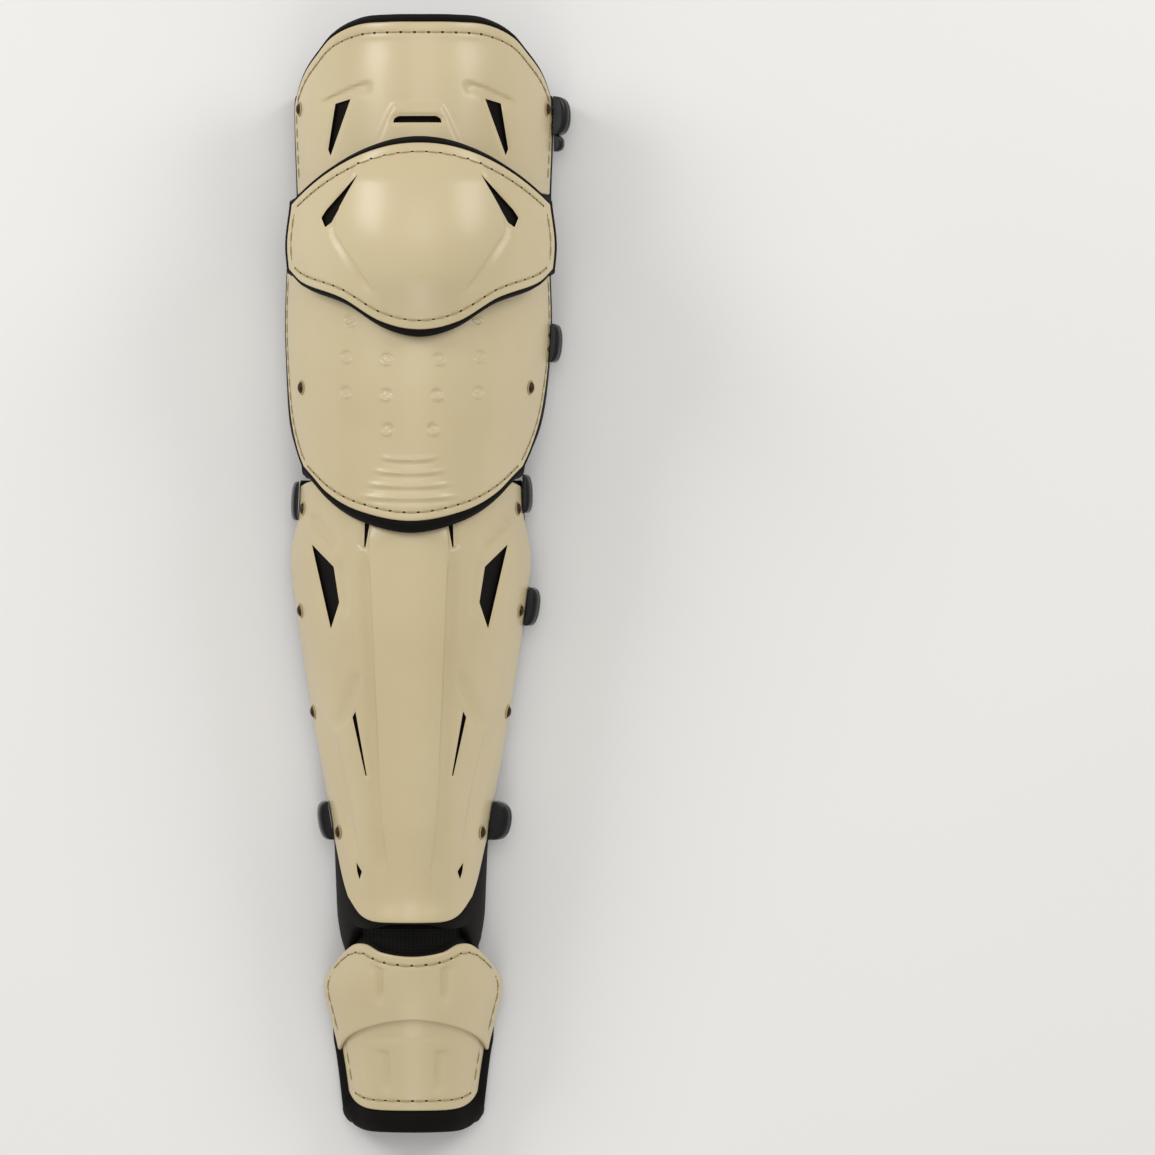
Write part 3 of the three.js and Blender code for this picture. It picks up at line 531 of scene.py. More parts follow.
def rounded(ring, radius=0.5, steps=3):
    """A ring of corners with each corner rounded, less so between short sides."""
    corners = np.array(ring)
    before, after = np.roll(corners, 1, 0), np.roll(corners, -1, 0)
    points = []
    for a, b, c in zip(before, corners, after):
        back, on = np.linalg.norm(a - b), np.linalg.norm(c - b)
        cut = min(radius, 0.3 * back, 0.3 * on)
        start, end = b + (a - b) * cut / back, b + (c - b) * cut / on
        for t in np.linspace(0, 1, steps):
            points.append(tuple((1 - t) ** 2 * start + 2 * t * (1 - t) * b + t * t * end))
    return points


def cut_vents(piece, name):
    """Cuts each vent of a shell through it with straight prisms."""
    form = SHELLS[name]["form"]
    points, faces = [], []
    for corners, mirrored in VENTS.get(name, []):
        for side in (-1, 1) if mirrored else (1,):
            ring = []
            for x, down in corners:
                y = form.top - down
                middle = float(form.middle(np.array(y))) + SHIFTS.get(name, 0.0)
                ring.append((middle + side * x, y))
            ring = rounded(ring)
            if sum(ax * by - bx * ay for (ax, ay), (bx, by) in zip(ring, ring[1:] + ring[:1])) < 0:
                ring = ring[::-1]
            count, start = len(ring), len(points)
            points += [(x, y, z) for z in (VENT_TOOL_LOW, VENT_TOOL_HIGH) for x, y in ring]
            faces += [[start + i for i in range(count)][::-1], [start + count + i for i in range(count)]]
            faces += [[start + i, start + (i + 1) % count, start + (i + 1) % count + count, start + i + count]
                      for i in range(count)]
    if not points:
        return
    tool = as_object("vent_tool", points, faces)
    cut = piece.modifiers.new("vents", "BOOLEAN")
    cut.operation, cut.solver, cut.object = "DIFFERENCE", "EXACT", tool
    bpy.context.view_layer.update()
    graph = bpy.context.evaluated_depsgraph_get()
    mesh = bpy.data.meshes.new_from_object(piece.evaluated_get(graph))
    piece.modifiers.clear()
    highest = max(vert.co.z for vert in piece.data.vertices)
    if max(vert.co.z for vert in mesh.vertices) > highest + MM:
        raise RuntimeError("a vent of " + name + " was not cut through")
    old, piece.data = piece.data, mesh
    bpy.data.meshes.remove(old)
    mesh.name = name + "_moulded"
    bpy.data.objects.remove(tool)
    mesh.set_sharp_from_angle(angle=math.radians(VENT_SHARP))


def build_shell(name, material):
    """One moulded shell: relief on the front, a plain back, a rolled edge and vents cut through."""
    s = SHELLS[name]
    form = s["form"]
    y, angle = stations(form, s["top"], s["bottom"], s["columns"], s["rows"])
    flat = form.section(y, angle)
    x = flat[..., 0] - form.middle(y)
    height = shell_height(name, x, y)
    chains = [[(a * form.half, at) for at, a in [*line[::3], line[-1]]] for line in stitch_lines(name)]
    if chains:
        height = height + groove(angle * form.half, y, chains)
    back = np.minimum(lift(name, y), height) - SHELL_WALL
    back = np.minimum(back, height - LEAST_WALL * SHELL_WALL)
    points, faces = slab(form.surface(y, angle, height), form.surface(y, angle, back),
                         roll=SHELL_WALL * SHELL_ROLL, rounds=4)
    piece = as_object(name + "_moulded", points, faces, material, sharp=50)
    cut_vents(piece, name)
    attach(piece, "root")
    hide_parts(name)


def linear(code):
    """Linear colour of an sRGB hex code."""
    parts = [int(code[i:i + 2], 16) / 255 for i in (1, 3, 5)]
    return [c / 12.92 if c <= 0.04045 else ((c + 0.055) / 1.055) ** 2.4 for c in parts] + [1.0]


def add_node(tree, kind, inputs=None, **settings):
    """Adds a node with its settings; inputs are values or the sockets that feed them."""
    item = tree.nodes.new(kind)
    for name, value in settings.items():
        setattr(item, name, value)
    for socket, source in (inputs or {}).items():
        if isinstance(source, bpy.types.NodeSocket):
            tree.links.new(source, item.inputs[socket])
        else:
            item.inputs[socket].default_value = source
    return item


def start_material(name, **sockets):
    """A material with one Principled shader, its tree and its place in metres on the object."""
    material = bpy.data.materials.new(name)
    material.use_nodes = True
    tree = material.node_tree
    shader = tree.nodes["Principled BSDF"]
    for socket, value in sockets.items():
        shader.inputs[socket.replace("_", " ")].default_value = value
    place = add_node(tree, "ShaderNodeTexCoord").outputs["Object"]
    return material, tree, shader, place


WAVE_TURN = 2 * math.pi / 20  # a wave texture has 20 radians to each unit of place and scale


def dress(tree, shader, pattern, colours, rough=None, relief=None):
    """Drives colour and roughness by a pattern, and relief by a pattern, depth and strength."""
    ramp = add_node(tree, "ShaderNodeValToRGB", {"Fac": pattern})
    for stop, position, colour in zip(ramp.color_ramp.elements, (0.3, 0.7), colours):
        stop.position, stop.color = position, linear(colour)
    tree.links.new(ramp.outputs["Color"], shader.inputs["Base Color"])
    if rough:
        span = add_node(tree, "ShaderNodeMapRange",
                        {"Value": pattern, "To Min": rough[0], "To Max": rough[1]})
        tree.links.new(span.outputs["Result"], shader.inputs["Roughness"])
    if relief:
        height, depth, strength = relief
        bump = add_node(tree, "ShaderNodeBump",
                        {"Height": height, "Distance": depth * MM, "Strength": strength})
        tree.links.new(bump.outputs["Normal"], shader.inputs["Normal"])


def mottled(name, colours, *grains, rough=None, relief=None, **sockets):
    """A mottled material; a grain is a size in millimetres and a detail, and the last gives relief."""
    material, tree, shader, place = start_material(name, **sockets)
    noises = [add_node(tree, "ShaderNodeTexNoise",
                       {"Vector": place, "Scale": 1 / (size * MM), "Detail": detail})
              for size, detail in grains]
    dress(tree, shader, noises[0].outputs["Fac"], colours, rough,
          relief and (noises[-1].outputs["Fac"], *relief))
    return material


def woven(name, colours, pitches, operation, relief, **sockets):
    """A cloth with a yarn pitch in millimetres across and along it, drawn as two crossed waves."""
    material, tree, shader, place = start_material(name, **sockets)
    waves = [add_node(tree, "ShaderNodeTexWave", {"Vector": place, "Scale": WAVE_TURN / (pitch * MM)},
                      bands_direction=axis, wave_profile="SIN") for axis, pitch in zip("XY", pitches)]
    cloth = add_node(tree, "ShaderNodeMath", {i: waves[i].outputs["Fac"] for i in (0, 1)},
                     operation=operation)
    dress(tree, shader, cloth.outputs["Value"], colours, relief=(cloth.outputs["Value"], *relief))
    return material


def shell_material(gloss, peel):
    """Injection-moulded ABS, painted satin cream: soft wide highlights over a faint orange peel."""
    return mottled("Moulded ABS, satin cream", ("#cbb991", "#d3c39c"), (1000 / 9, 3.0), (10 / 7, 1.0),
                   rough=(gloss - 0.05, gloss + 0.05), relief=(peel, 0.5),
                   Coat_Weight=0.18, Coat_Roughness=0.22, IOR=1.5)


def foam_material():
    """EVA foam bound in brushed polyester: deep brown-black with a dry, slightly hairy face."""
    return mottled("Brushed polyester over EVA foam", ("#080605", "#0f0c0a"), (50 / 3, 4.0), (5 / 7, 2.0),
                   rough=(0.7, 0.85), relief=(0.12, 0.6),
                   Sheen_Weight=0.02, Sheen_Roughness=0.5, Specular_IOR_Level=0.15, IOR=1.46)


def plastic_material():
    """Moulded acetal, black: small bright highlights on rounded edges."""
    return mottled("Moulded black acetal", ("#08080a", "#101013"), (50 / 9, 3.0), rough=(0.2, 0.34),
                   Specular_IOR_Level=0.35, IOR=1.48)


def rivet_material():
    """Bronze-plated steel, tumbled: dark and soft-edged, with worn brighter patches."""
    return mottled("Bronze-plated steel rivet", ("#2e1f14", "#4f3826"), (2.0, 3.0), rough=(0.3, 0.5),
                   Metallic=0.85)


def tan_material():
    """Nylon washer and bonded nylon thread, olive tan, twisted: fine ridges and no shine."""
    return mottled("Bonded nylon, olive tan", ("#a0905f", "#b5a476"), (2 / 3, 2.0), relief=(0.08, 0.6),
                   Roughness=0.6, IOR=1.53)


def painted_hole_shade_material():
    """Painted shade for a needle hole: the bored wall in its own shadow, coloured dark brown."""
    # The dark brown is painted shade; the real wall of the hole is the shell's cream, in shadow.
    return mottled("Pierced ABS in shadow", ("#2c2316", "#3d3120"), (10 / 9, 1.0), Roughness=0.9, IOR=1.5)


def floor_material():
    """A seamless sheet of matt white paper."""
    return mottled("Matt white paper", ("#efeeec", "#f2f1ef"), (500.0, 2.0), Roughness=0.9, IOR=1.45)


def knit_material():
    """Warp-knit polyester mesh: rows of small round openings that read as dark dots."""
    return woven("Warp-knit polyester mesh", ("#0f0d0c", "#030303"), (2.4, 2.0), "MULTIPLY", (-0.5, 0.9),
                 Sheen_Weight=0.02, Specular_IOR_Level=0.15, Roughness=0.85, IOR=1.46)


def webbing_material():
    """Woven polyester webbing: close ribs across the band with a faint lustre."""
    return woven("Woven polyester webbing", ("#0b090a", "#151213"), (1.6, 1.3), "ADD", (0.25, 0.7),
                 Sheen_Weight=0.04, Specular_IOR_Level=0.3, Roughness=0.75, IOR=1.5)


def piece_of(name, points, faces, material, node, sharp=None):
    """A visual piece that rides on the guard and stands for one CAD node."""
    piece = as_object(name, points, faces, material, sharp)
    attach(piece, "root")
    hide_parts(node)
    return piece


FORM_REACH, SHELL_REACH = 6, 2


def front_of(name, x, y):
    """Height of a shell's or form's face over the floor at places x and y, below all where it has none."""
    form = SHELLS[name]["form"] if name in SHELLS else name
    sine = (x - form.middle(y)) / form.girth(y)
    crest = column(form.rows, "crest", form.share(y)) * form.height - form.base
    top, low = form.top + FORM_REACH, form.top - form.length - FORM_REACH
    if name in SHELLS:
        middle = np.array(0.0)
        top, low = SHELLS[name]["top"](middle) + SHELL_REACH, SHELLS[name]["bottom"](middle) - SHELL_REACH
    there = (np.abs(sine) < 1) & (y < top) & (y > low)
    return np.where(there, form.base + crest * np.sqrt(np.clip(1 - sine ** 2, 0, 1)), -1e3)


def whole_side(form, y):
    """The side angle of a pad that reaches the back of the guard."""
    return HALF_TURN + 0 * y


def pad_grid(name, side, above, below, columns, rows, top=None, bottom=None):
    """Grids of y, angle and distance past the shell's edges, from 0 to 1, for a pad under a shell."""
    s = SHELLS[name]
    form = s["form"]
    flank, ends = 0.14, 0.06
    w = np.linspace(-1 - flank, 1 + flank, columns + 1)[None, :]
    v = np.linspace(-ends, 1 + ends, rows + 1)[:, None]
    inside, along = np.minimum(np.abs(w), 1), np.clip(v, 0, 1)
    y = (top or s["top"])(inside) * (1 - along) + (bottom or s["bottom"])(inside) * along
    edge = form.edge(y)
    past_side = np.maximum(np.abs(w) - 1, 0) / flank + 0 * v
    angle = np.sign(w) * (inside * edge + past_side * (side(form, y) - edge))
    turn = np.abs(angle) / HALF_TURN
    past_top, past_end = np.maximum(-v, 0) / ends + 0 * w, np.maximum(v - 1, 0) / ends + 0 * w
    y = y + past_top * above(turn) - past_end * below(turn)
    return y, angle, past_side, past_top, past_end


def rim_only(form, y, past, turn):
    """A pad that shows no more than its rim past the shell."""
    return 0 * y


def foot_flank(form, y, past, turn):
    """The foot pad stands proud of the toe shell all the way down its sides."""
    return 4.2 * smooth(0.38, 0.62, form.share(y)) * smooth(0.0, 0.5, past) * smooth(0.6, 0.9, turn)


def wing_flank(form, y, past, turn):
    """The wings draw in towards the foot below the shin shell."""
    return -3.5 * smooth(SHIN_END + 4, SHIN_END - 24, y)


ROLLED_WALL, PAD_ROLL, THINNEST_PAD = 5.0, 0.28, 0.6


def build_pad(node, shell, wall, side, above, below, material, swell, over=(), size=(110, 90), fill=0.7,
              flank=rim_only, **ends):
    """One foam pad under its shell, with a rolled rim that swells past the shell's edges."""
    form = SHELLS[shell]["form"]
    y, angle, past_side, past_top, past_end = pad_grid(shell, side, above, below, *size, **ends)
    past = np.clip(np.maximum(past_side, np.maximum(past_top, past_end)), 0, 1)
    extra = flank(form, y, past, np.abs(angle) / HALF_TURN)
    outer = form.surface(y, angle, swell * np.sin(np.pi * past) ** 0.7 - PAD_DEPTH + extra)
    inner = form.surface(y, angle, np.minimum(extra, 0) - PAD_DEPTH - wall)
    for other in over:
        clear = front_of(other, inner[..., 0], inner[..., 1]) + GAP
        inner[..., 2] = np.minimum(np.maximum(inner[..., 2], clear), outer[..., 2] - THINNEST_PAD)
    for grid in (outer, inner):
        grid[..., 2] = np.maximum(grid[..., 2], 0.0 if form is FOOT else SOLE)
    points, faces = slab(outer, inner, roll=min(wall, ROLLED_WALL) * PAD_ROLL, rounds=5)
    points[:, 2] = np.maximum(points[:, 2], 0.0 if form is FOOT else SOLE)
    piece = piece_of(node + "_sewn", points, faces, material, node, sharp=60)


def flat_step(width):
    """A border of the same width all the way across."""
    return lambda turn: width + 0 * turn


def cap_side(form, y):
    """The knee cap's pad shows a few millimetres past its shell."""
    return form.edge(y) + 5.5 / form.half


def plate_side(form, y):
    """The plate's pad reaches the back at its top and draws in to a rim lower down."""
    share = smooth(0.5, 0.75, form.share(y))
    return HALF_TURN * (1 - share) + (form.edge(y) + 7.0 / form.half) * share


def thigh_tabs(turn):
    """The thigh pad runs on under the knee cap's corners at both sides."""
    return GAP + 14.0 * smooth(0.62, 0.8, turn)


def wing_drop(turn):
    """The wings hang below the shin shell towards the sides, with rounded lower corners."""
    return 1 + 35.0 * smooth(0.1, 0.92, turn) ** 1.5 - 5.0 * smooth(0.86, 1.0, turn)


def sole_drop(turn):
    """The sole shows under the toe shell, and its corners round up the sides."""
    return 13.6 - 3.0 * smooth(0.8, 1.0, turn)


def foot_end(u):
    """The toe end of the foot pad, rounder than the shell's."""
    return TOE_END + 4.5 * u ** 8


PADS = {
    "thigh_pad": dict(shell="thigh_shell", wall=THIGH_PAD_WALL, side=whole_side,
                      above=flat_step(4.8), below=thigh_tabs, swell=2.6),
    "knee_cap_pad": dict(shell="knee_cap_shell", wall=CAP_PAD_WALL, side=cap_side, above=flat_step(4.0),
                         below=flat_step(4.0), swell=3.0, over=("thigh_shell", "knee_plate_shell")),
    "knee_plate_pad": dict(shell="knee_plate_shell", wall=PLATE_PAD_WALL, side=plate_side,
                           above=flat_step(0.0), below=flat_step(7.0), swell=2.8, over=("shin_shell",)),
    "shin_pad": dict(shell="shin_shell", wall=SHIN_PAD_WALL, side=whole_side, above=flat_step(GAP),
                     below=wing_drop, swell=1.6, size=(130, 150), flank=wing_flank),
    "foot_pad": dict(shell="instep_shell", wall=FOOT_PAD_WALL, side=whole_side, above=flat_step(1.0),
                     below=sole_drop, swell=2.4, over=(NECK,), bottom=foot_end, flank=foot_flank),
}


def build_neck(material):
    """The knit gusset between the shin and the foot, with the soft fold that the bent ankle gives it."""
    y, angle = stations(NECK, level(NECK.top), level(NECK.top - NECK_LENGTH), 120, 60, whole_side)
    fold = 0
    # height, distance below the shin shell and half width of the fold, its valley and the bulge at the sides
    for height, below, width, share in ((1.5, 5.4, 2.2, 1), (-0.8, 10.6, 2.0, 1),
                                        (3.4, 17, 9, smooth(0.5, 0.95, np.abs(angle) / HALF_TURN))):
        fold = fold + height * np.exp(-((y - SHIN_END + below) / width) ** 2) * share
    outer, inner = NECK.surface(y, angle, fold), NECK.surface(y, angle, fold - NECK_WALL)
    for grid in (outer, inner):
        grid[..., 2] = np.maximum(grid[..., 2], SOLE)
    points, faces = slab(outer, inner, roll=0.8, rounds=3)
    points[:, 2] = np.maximum(points[:, 2], SOLE)
    piece = piece_of("ankle_neck_knit", points, faces, material, "ankle_neck")
    row = outer[len(outer) // 2]
    width = float(np.linalg.norm(np.diff(row, axis=0), axis=1).sum()) * MM


STRAPS = [
    dict(name="thigh", form=THIGH, at=0.523, hook=9.9, keeper=0, lug=True),
    dict(name="knee", form=PLATE, at=0.325, hook=6.2, keeper=0),
    dict(name="shin_top", form=SHIN, at=0.05, hook=5.0, keeper=3.7, up=4.5),
    dict(name="shin_mid", form=SHIN, at=0.29, hook=7.0, keeper=0),
    dict(name="ankle", form=SHIN, at=0.777, hook=11.7, keeper=7.0),
]


def build_strap(name, form, at, material):
    """One band of webbing from side to side behind the guard, with thick selvages."""
    middle = form.top - at * form.length
    across = np.array([-0.5, -0.47, -0.4, -0.2, 0.0, 0.2, 0.4, 0.47, 0.5])
    thick = np.array([0.55, 0.8, 1.0, 0.94, 0.94, 0.94, 1.0, 0.8, 0.55])
    y = (middle + across * STRAP_WIDTH)[None, :]
    start = form.edge(y) + STRAP_BELOW_EDGE / form.half
    turn = np.linspace(0, 1, 28)[:, None]
    angle = start + turn * (HALF_TURN - start)
    half = STRAP_WALL / 2 * thick[None, :]
    sides = []
    core = STRAP_WALL / 2 - SHELL_WALL
    for sign in (-1, 1):
        sides.append((form.surface(y + 0 * angle, sign * angle, core - half),
                      form.surface(y + 0 * angle, sign * angle, core + half)))
    back = []
    for k in (0, 1):
        left, right = sides[0][k][-1], sides[1][k][-1]
        t = np.linspace(0, 1, 42)[:, None, None]
        run = left[None] * (1 - t) + right[None] * t
        run[..., 2] = STRAP_WALL / 2 + (half if k == 0 else -half)
        back.append(run[1:-1])
    loops = [np.concatenate([sides[0][k], back[k], sides[1][k][::-1]]) for k in (0, 1)]
    for loop in loops:
        loop[..., 2] = np.maximum(loop[..., 2], 0.0)
    points, faces = slab(*loops, roll=0.4, rounds=3)
    points[:, 2] = np.maximum(points[:, 2], 0.0)
    piece_of(name + "_strap_woven", points, faces, material, name + "_strap", sharp=60)


def axes(form, y, angle):
    """The directions along the leg, down the side and outward at one place on a form."""
    out = form.outward(np.array([float(y)]), np.array([float(angle)]))[0]
    along = np.array([0.0, 1.0, 0.0]) - out * out[1]
    along /= np.linalg.norm(along)
    return along, np.cross(out, along), out


def seat(form, y, angle, offset):
    """A place outside a form with its axes, in millimetres."""
    along, down, out = axes(form, y, angle)
    place = form.section(np.array([float(y)]), np.array([float(angle)]))[0] + out * offset
    return Matrix([[along[i], down[i], out[i], place[i]] for i in range(3)] + [[0, 0, 0, 1]])


CLIP_LENGTH, CLIP_HEIGHT, HOOK_SEAT, HOOK_HANG = 24.0, 20.0, 0.9, 3.0
LUG, LUG_SHARE = (-17.0, 10.0, 11.0), 0.62  # place along the leg, length and height; share of the reach


def lump(place, along, length, height, reach, slot=0.0):
    """Outer and inner grids of a rounded moulding on a seat, with a slot across it for the band."""
    turn = np.linspace(-1, 1, 37) * HALF_TURN * 0.985
    a, b = np.meshgrid(turn, turn, indexing="ij")
    run = along + length / 2 * np.sign(a) * np.abs(np.sin(a)) ** 0.85
    down = height / 2 * np.sign(b) * np.abs(np.sin(b)) ** 0.7
    crown = np.abs(np.cos(a)) ** 0.62 * np.abs(np.cos(b)) ** 0.5
    out = reach * crown - slot * np.exp(-((down - 0.18 * height) / 0.9) ** 2) * smooth(0.45, 0.75, crown)
    out = np.maximum(out, 0.25)
    turned = np.array(place)
    return [np.stack([run, down, face], -1) @ turned[:3, :3].T + turned[:3, 3] for face in (out, 0 * out)]


def build_clip(node, form, y, angle, reach, material, lug=False):
    """A moulded hook: a rounded body with a slot for the band, and a small lug under it where it has one."""
    place = seat(form, y, angle, HOOK_SEAT)
    points, faces = slab(*lump(place, 0.0, CLIP_LENGTH, CLIP_HEIGHT, reach, slot=min(1.4, 0.2 * reach)))
    if lug:
        more, rim = slab(*lump(place, *LUG, LUG_SHARE * reach))
        faces = np.concatenate([faces, rim + len(points)])
        points = np.concatenate([points, more])
    piece_of(node + "_moulded", points, faces, material, node, sharp=45)


RIVETS = [
    dict(name="thigh", shell="thigh_shell", at=0.49, turn=0.88),
    dict(name="plate", shell="knee_plate_shell", at=0.5, turn=0.77),
    dict(name="shin_top", shell="shin_shell", at=0.068, turn=0.87),
    dict(name="shin_mid", shell="shin_shell", at=0.3, turn=0.87),
    dict(name="shin_low", shell="shin_shell", at=0.53, turn=0.92),
    dict(name="ankle", shell="shin_shell", at=0.803, turn=0.83),
]
RIVET_PROFILE = [(0.0, 2.3), (0.9, 2.24), (1.9, 2.0), (2.8, 1.5), (3.3, 0.95), (3.5, 0.45)]
WASHER_PROFILE = [(3.5, 0.45), (3.7, 0.66), (4.2, 0.64), (4.55, 0.35), (4.6, 0.0)]


def lathe(profile, sides=32):
    """Points and faces turned about the outward axis from a profile of radius and height."""
    turn = np.linspace(0, 2 * math.pi, sides, endpoint=False)
    points = [(r * math.cos(a), r * math.sin(a), h) for r, h in profile for a in turn]
    faces = []
    for k in range(len(profile) - 1):
        for i in range(sides):
            j = (i + 1) % sides
            faces.append([k * sides + i, (k + 1) * sides + i, (k + 1) * sides + j, k * sides + j])
    return points, faces


def build_rivet(node, shell, at, turn, side, dome, washer):
    """A domed rivet on its washer, square to the shell."""
    form = SHELLS[shell]["form"]
    y = form.top - at * form.length
    angle = side * turn * float(form.edge(np.array([y]))[0])
    place = seat(form, y, angle, 0.1)
    points, faces = lathe(RIVET_PROFILE)
    more, rim = lathe(WASHER_PROFILE)
    rim = [[i + len(points) for i in face] for face in rim]
    spots = [tuple(place @ Vector(point)) for point in points + more]
    piece = piece_of(node + "_domed", spots, faces + rim, dome, node, sharp=50)
    piece.data.materials.append(washer)
    for polygon in piece.data.polygons[len(faces):]:
        polygon.material_index = 1


def resample(line, pitch, name):
    """Points at an even pitch along a row of stitches, as y and angle."""
    spots = shell_point(name, line[:, 0], line[:, 1])
    steps = np.linalg.norm(np.diff(spots, axis=0), axis=1)
    run = np.concatenate([[0], np.cumsum(steps)])
    count = max(int(round(run[-1] / pitch)), 2)
    marks = np.linspace(run[-1] / count / 2, run[-1] * (1 - 0.5 / count), count)
    return np.stack([np.interp(marks, run, line[:, 0]), np.interp(marks, run, line[:, 1])], -1)


HOLE_SIDES, HOLE_SUNK = 12, 0.36
THREAD_SIDES, THREAD_STEPS, THREAD_SUNK = 8, 7, 0.45
THREAD_SPAN = (0.1, 0.9)  # the share of the way between two holes that shows


def circle(sides):
    """Cosine and sine of evenly spaced turns."""
    return [(math.cos(a), math.sin(a)) for a in np.linspace(0, 2 * math.pi, sides, endpoint=False)]


def build_stitches(name, pitch, radius, hole, thread, shade_in_holes):
    """The thread of each row with the needle holes between its stitches, lying in the shell's channel; the
    holes are flat discs of painted shade.
    """
    form = SHELLS[name]["form"]
    points, faces, dark = [], [], []
    for line in stitch_lines(name):
        marks = resample(line, pitch, name)
        for y, angle in marks:
            here = shell_point(name, np.array([y]), np.array([angle]), -HOLE_SUNK)[0]
            along, down, _ = axes(form, y, angle)
            # Each needle hole is a flat disc sunk under the face, given the painted shade material.
            dark.append(len(faces))
            faces.append([len(points) + k for k in range(HOLE_SIDES)])
            points += [here + hole * (c * along + s * down) for c, s in circle(HOLE_SIDES)]
        for (ya, aa), (yb, ab) in zip(marks, marks[1:]):
            share = np.linspace(*THREAD_SPAN, THREAD_STEPS)
            core = shell_point(name, ya + (yb - ya) * share, aa + (ab - aa) * share)
            out = form.outward(ya + (yb - ya) * share, aa + (ab - aa) * share)
            part = (share - share[0]) / (share[-1] - share[0])
            arch = np.sqrt(np.clip(1 - (2 * part - 1) ** 4, 0, 1))
            core = core + out * (arch * (radius + 0.1) - THREAD_SUNK)[:, None]
            run = core[-1] - core[0]
            run /= np.linalg.norm(run)
            first, n = len(points), THREAD_SIDES
            for k in range(THREAD_STEPS):
                side = np.cross(run, out[k])
                girth = radius * (0.55 + 0.45 * arch[k])
                points += [core[k] + girth * (c * side + s * out[k]) for c, s in circle(n)]
            for k in range(THREAD_STEPS - 1):
                ring = first + n * k
                for i in range(n):
                    j = (i + 1) % n
                    faces.append([ring + i, ring + n + i, ring + n + j, ring + j])
            last = first + n * (THREAD_STEPS - 1)
            faces += [[first + i for i in range(n)], [last + i for i in range(n)][::-1]]
    piece = as_object(name + "_stitching", points, faces, thread)
    # The second slot holds the painted shade of the needle holes.
    piece.data.materials.append(shade_in_holes)
    for index in dark:
        piece.data.polygons[index].material_index = 1
    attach(piece, "root")


# The camera's place, in millimetres from the middle and the top of the shin shell
CAMERA_RIGHT, CAMERA_BELOW = 103.5, 61.2
# Camera and lights, in metres and watts
CAMERA_HEIGHT = 6.0
FRAME_HEIGHT = 0.07
SENSOR = 36.0
LIT_CENTRE = (0.0, 0.0, 0.08)
LIGHTS = (("key", (-1.75, 1.2, 1.35), 0.9, 1.0), ("second", (1.7, 1.2, 1.35), 0.9, 0.7),
          ("overhead", (0.1, 0.9, 3.0), 1.6, 0.65), ("low", (0.0, -1.6, 1.2), 0.7, 0.2))


def build_camera(width):
    """The camera straight over the guard, with the thigh at the top of the picture."""
    data = bpy.data.cameras.new("front")
    data.sensor_width = SENSOR
    data.lens = SENSOR * (CAMERA_HEIGHT - FRAME_HEIGHT) / width
    data.clip_end = 20.0
    camera = bpy.data.objects.new("front", data)
    camera.location = ((MIDDLE + CAMERA_RIGHT) * MM, (SHIN_TOP - CAMERA_BELOW) * MM, CAMERA_HEIGHT)
    bpy.context.collection.objects.link(camera)
    bpy.context.scene.camera = camera
    bpy.context.scene.view_settings.view_transform = "Standard"


def build_light(name, place, target, size, power):
    """One square softbox that faces a target."""
    data = bpy.data.lights.new(name, "AREA")
    data.shape, data.size, data.energy = "SQUARE", size, power
    lamp = bpy.data.objects.new(name, data)
    lamp.location = place
    lamp.rotation_euler = (Vector(target) - Vector(place)).to_track_quat("-Z", "Y").to_euler()
    bpy.context.collection.objects.link(lamp)


def build_floor(material):
    """A plain sheet of paper under the guard."""
    half = 4000.0
    corners = [(-half, -half, 0), (half, -half, 0), (half, half, 0), (-half, half, 0)]
    as_object("paper_floor", corners, [(0, 1, 2, 3)], material)


def build_world(strength):
    """An even pale surround."""
    world = bpy.data.worlds.new("pale surround")
    world.use_nodes = True
    background = world.node_tree.nodes["Background"]
    background.inputs["Color"].default_value = linear("#fbfaf8")
    background.inputs["Strength"].default_value = strength
    bpy.context.scene.world = world


class LegGuardShell(bpy.types.PropertyGroup):
    """Settings of the moulded shells."""

    gloss: bpy.props.FloatProperty(
        name="Roughness", description="Mean roughness of the cream shells", default=0.37,
        min=0.05, max=0.9, subtype="FACTOR")
    peel: bpy.props.FloatProperty(
        name="Orange peel", description="Depth of the orange peel, in millimetres", default=0.05,
        min=0.0, max=0.5)


class LegGuardSoft(bpy.types.PropertyGroup):
    """Settings of the pads and the sewing."""

    swell: bpy.props.FloatProperty(
        name="Rim swell", description="Share of the full swell of the pads' rims", default=1.0,
        min=0.0, max=1.5, subtype="FACTOR")
    pitch: bpy.props.FloatProperty(
        name="Stitch pitch", description="Length of a stitch, in millimetres", default=8.8, min=2.0, max=20.0)
    thread: bpy.props.FloatProperty(
        name="Thread radius", description="Radius of the thread, in millimetres", default=0.42,
        min=0.1, max=1.0)
    hole: bpy.props.FloatProperty(
        name="Hole radius", description="Radius of a needle hole, in millimetres", default=1.1,
        min=0.2, max=2.0)


class LegGuardStage(bpy.types.PropertyGroup):
    """Settings of the camera and the light."""

    width: bpy.props.FloatProperty(
        name="Picture width", description="Width of the picture at the guard", default=0.7115,
        min=0.3, max=2.0, unit="LENGTH")
    key: bpy.props.FloatProperty(
        name="Key light", description="Power of the key softbox", default=20.0,
        min=0.0, max=500.0, unit="POWER")
    surround: bpy.props.FloatProperty(
        name="Surround", description="Strength of the pale surround", default=0.5, min=0.0, max=5.0)


class LEGGUARD_OT_stage(bpy.types.Operator):
    """Makes the camera, the floor and the studio light"""

    bl_idname = "leg_guard.stage"
    bl_label = "Stage"

    def execute(self, context):
        settings = context.scene.leg_guard_stage
        build_camera(settings.width)
        build_floor(floor_material())
        for name, place, size, share in LIGHTS:
            build_light(name, place, LIT_CENTRE, size, settings.key * share)
        build_world(settings.surround)
        return {"FINISHED"}


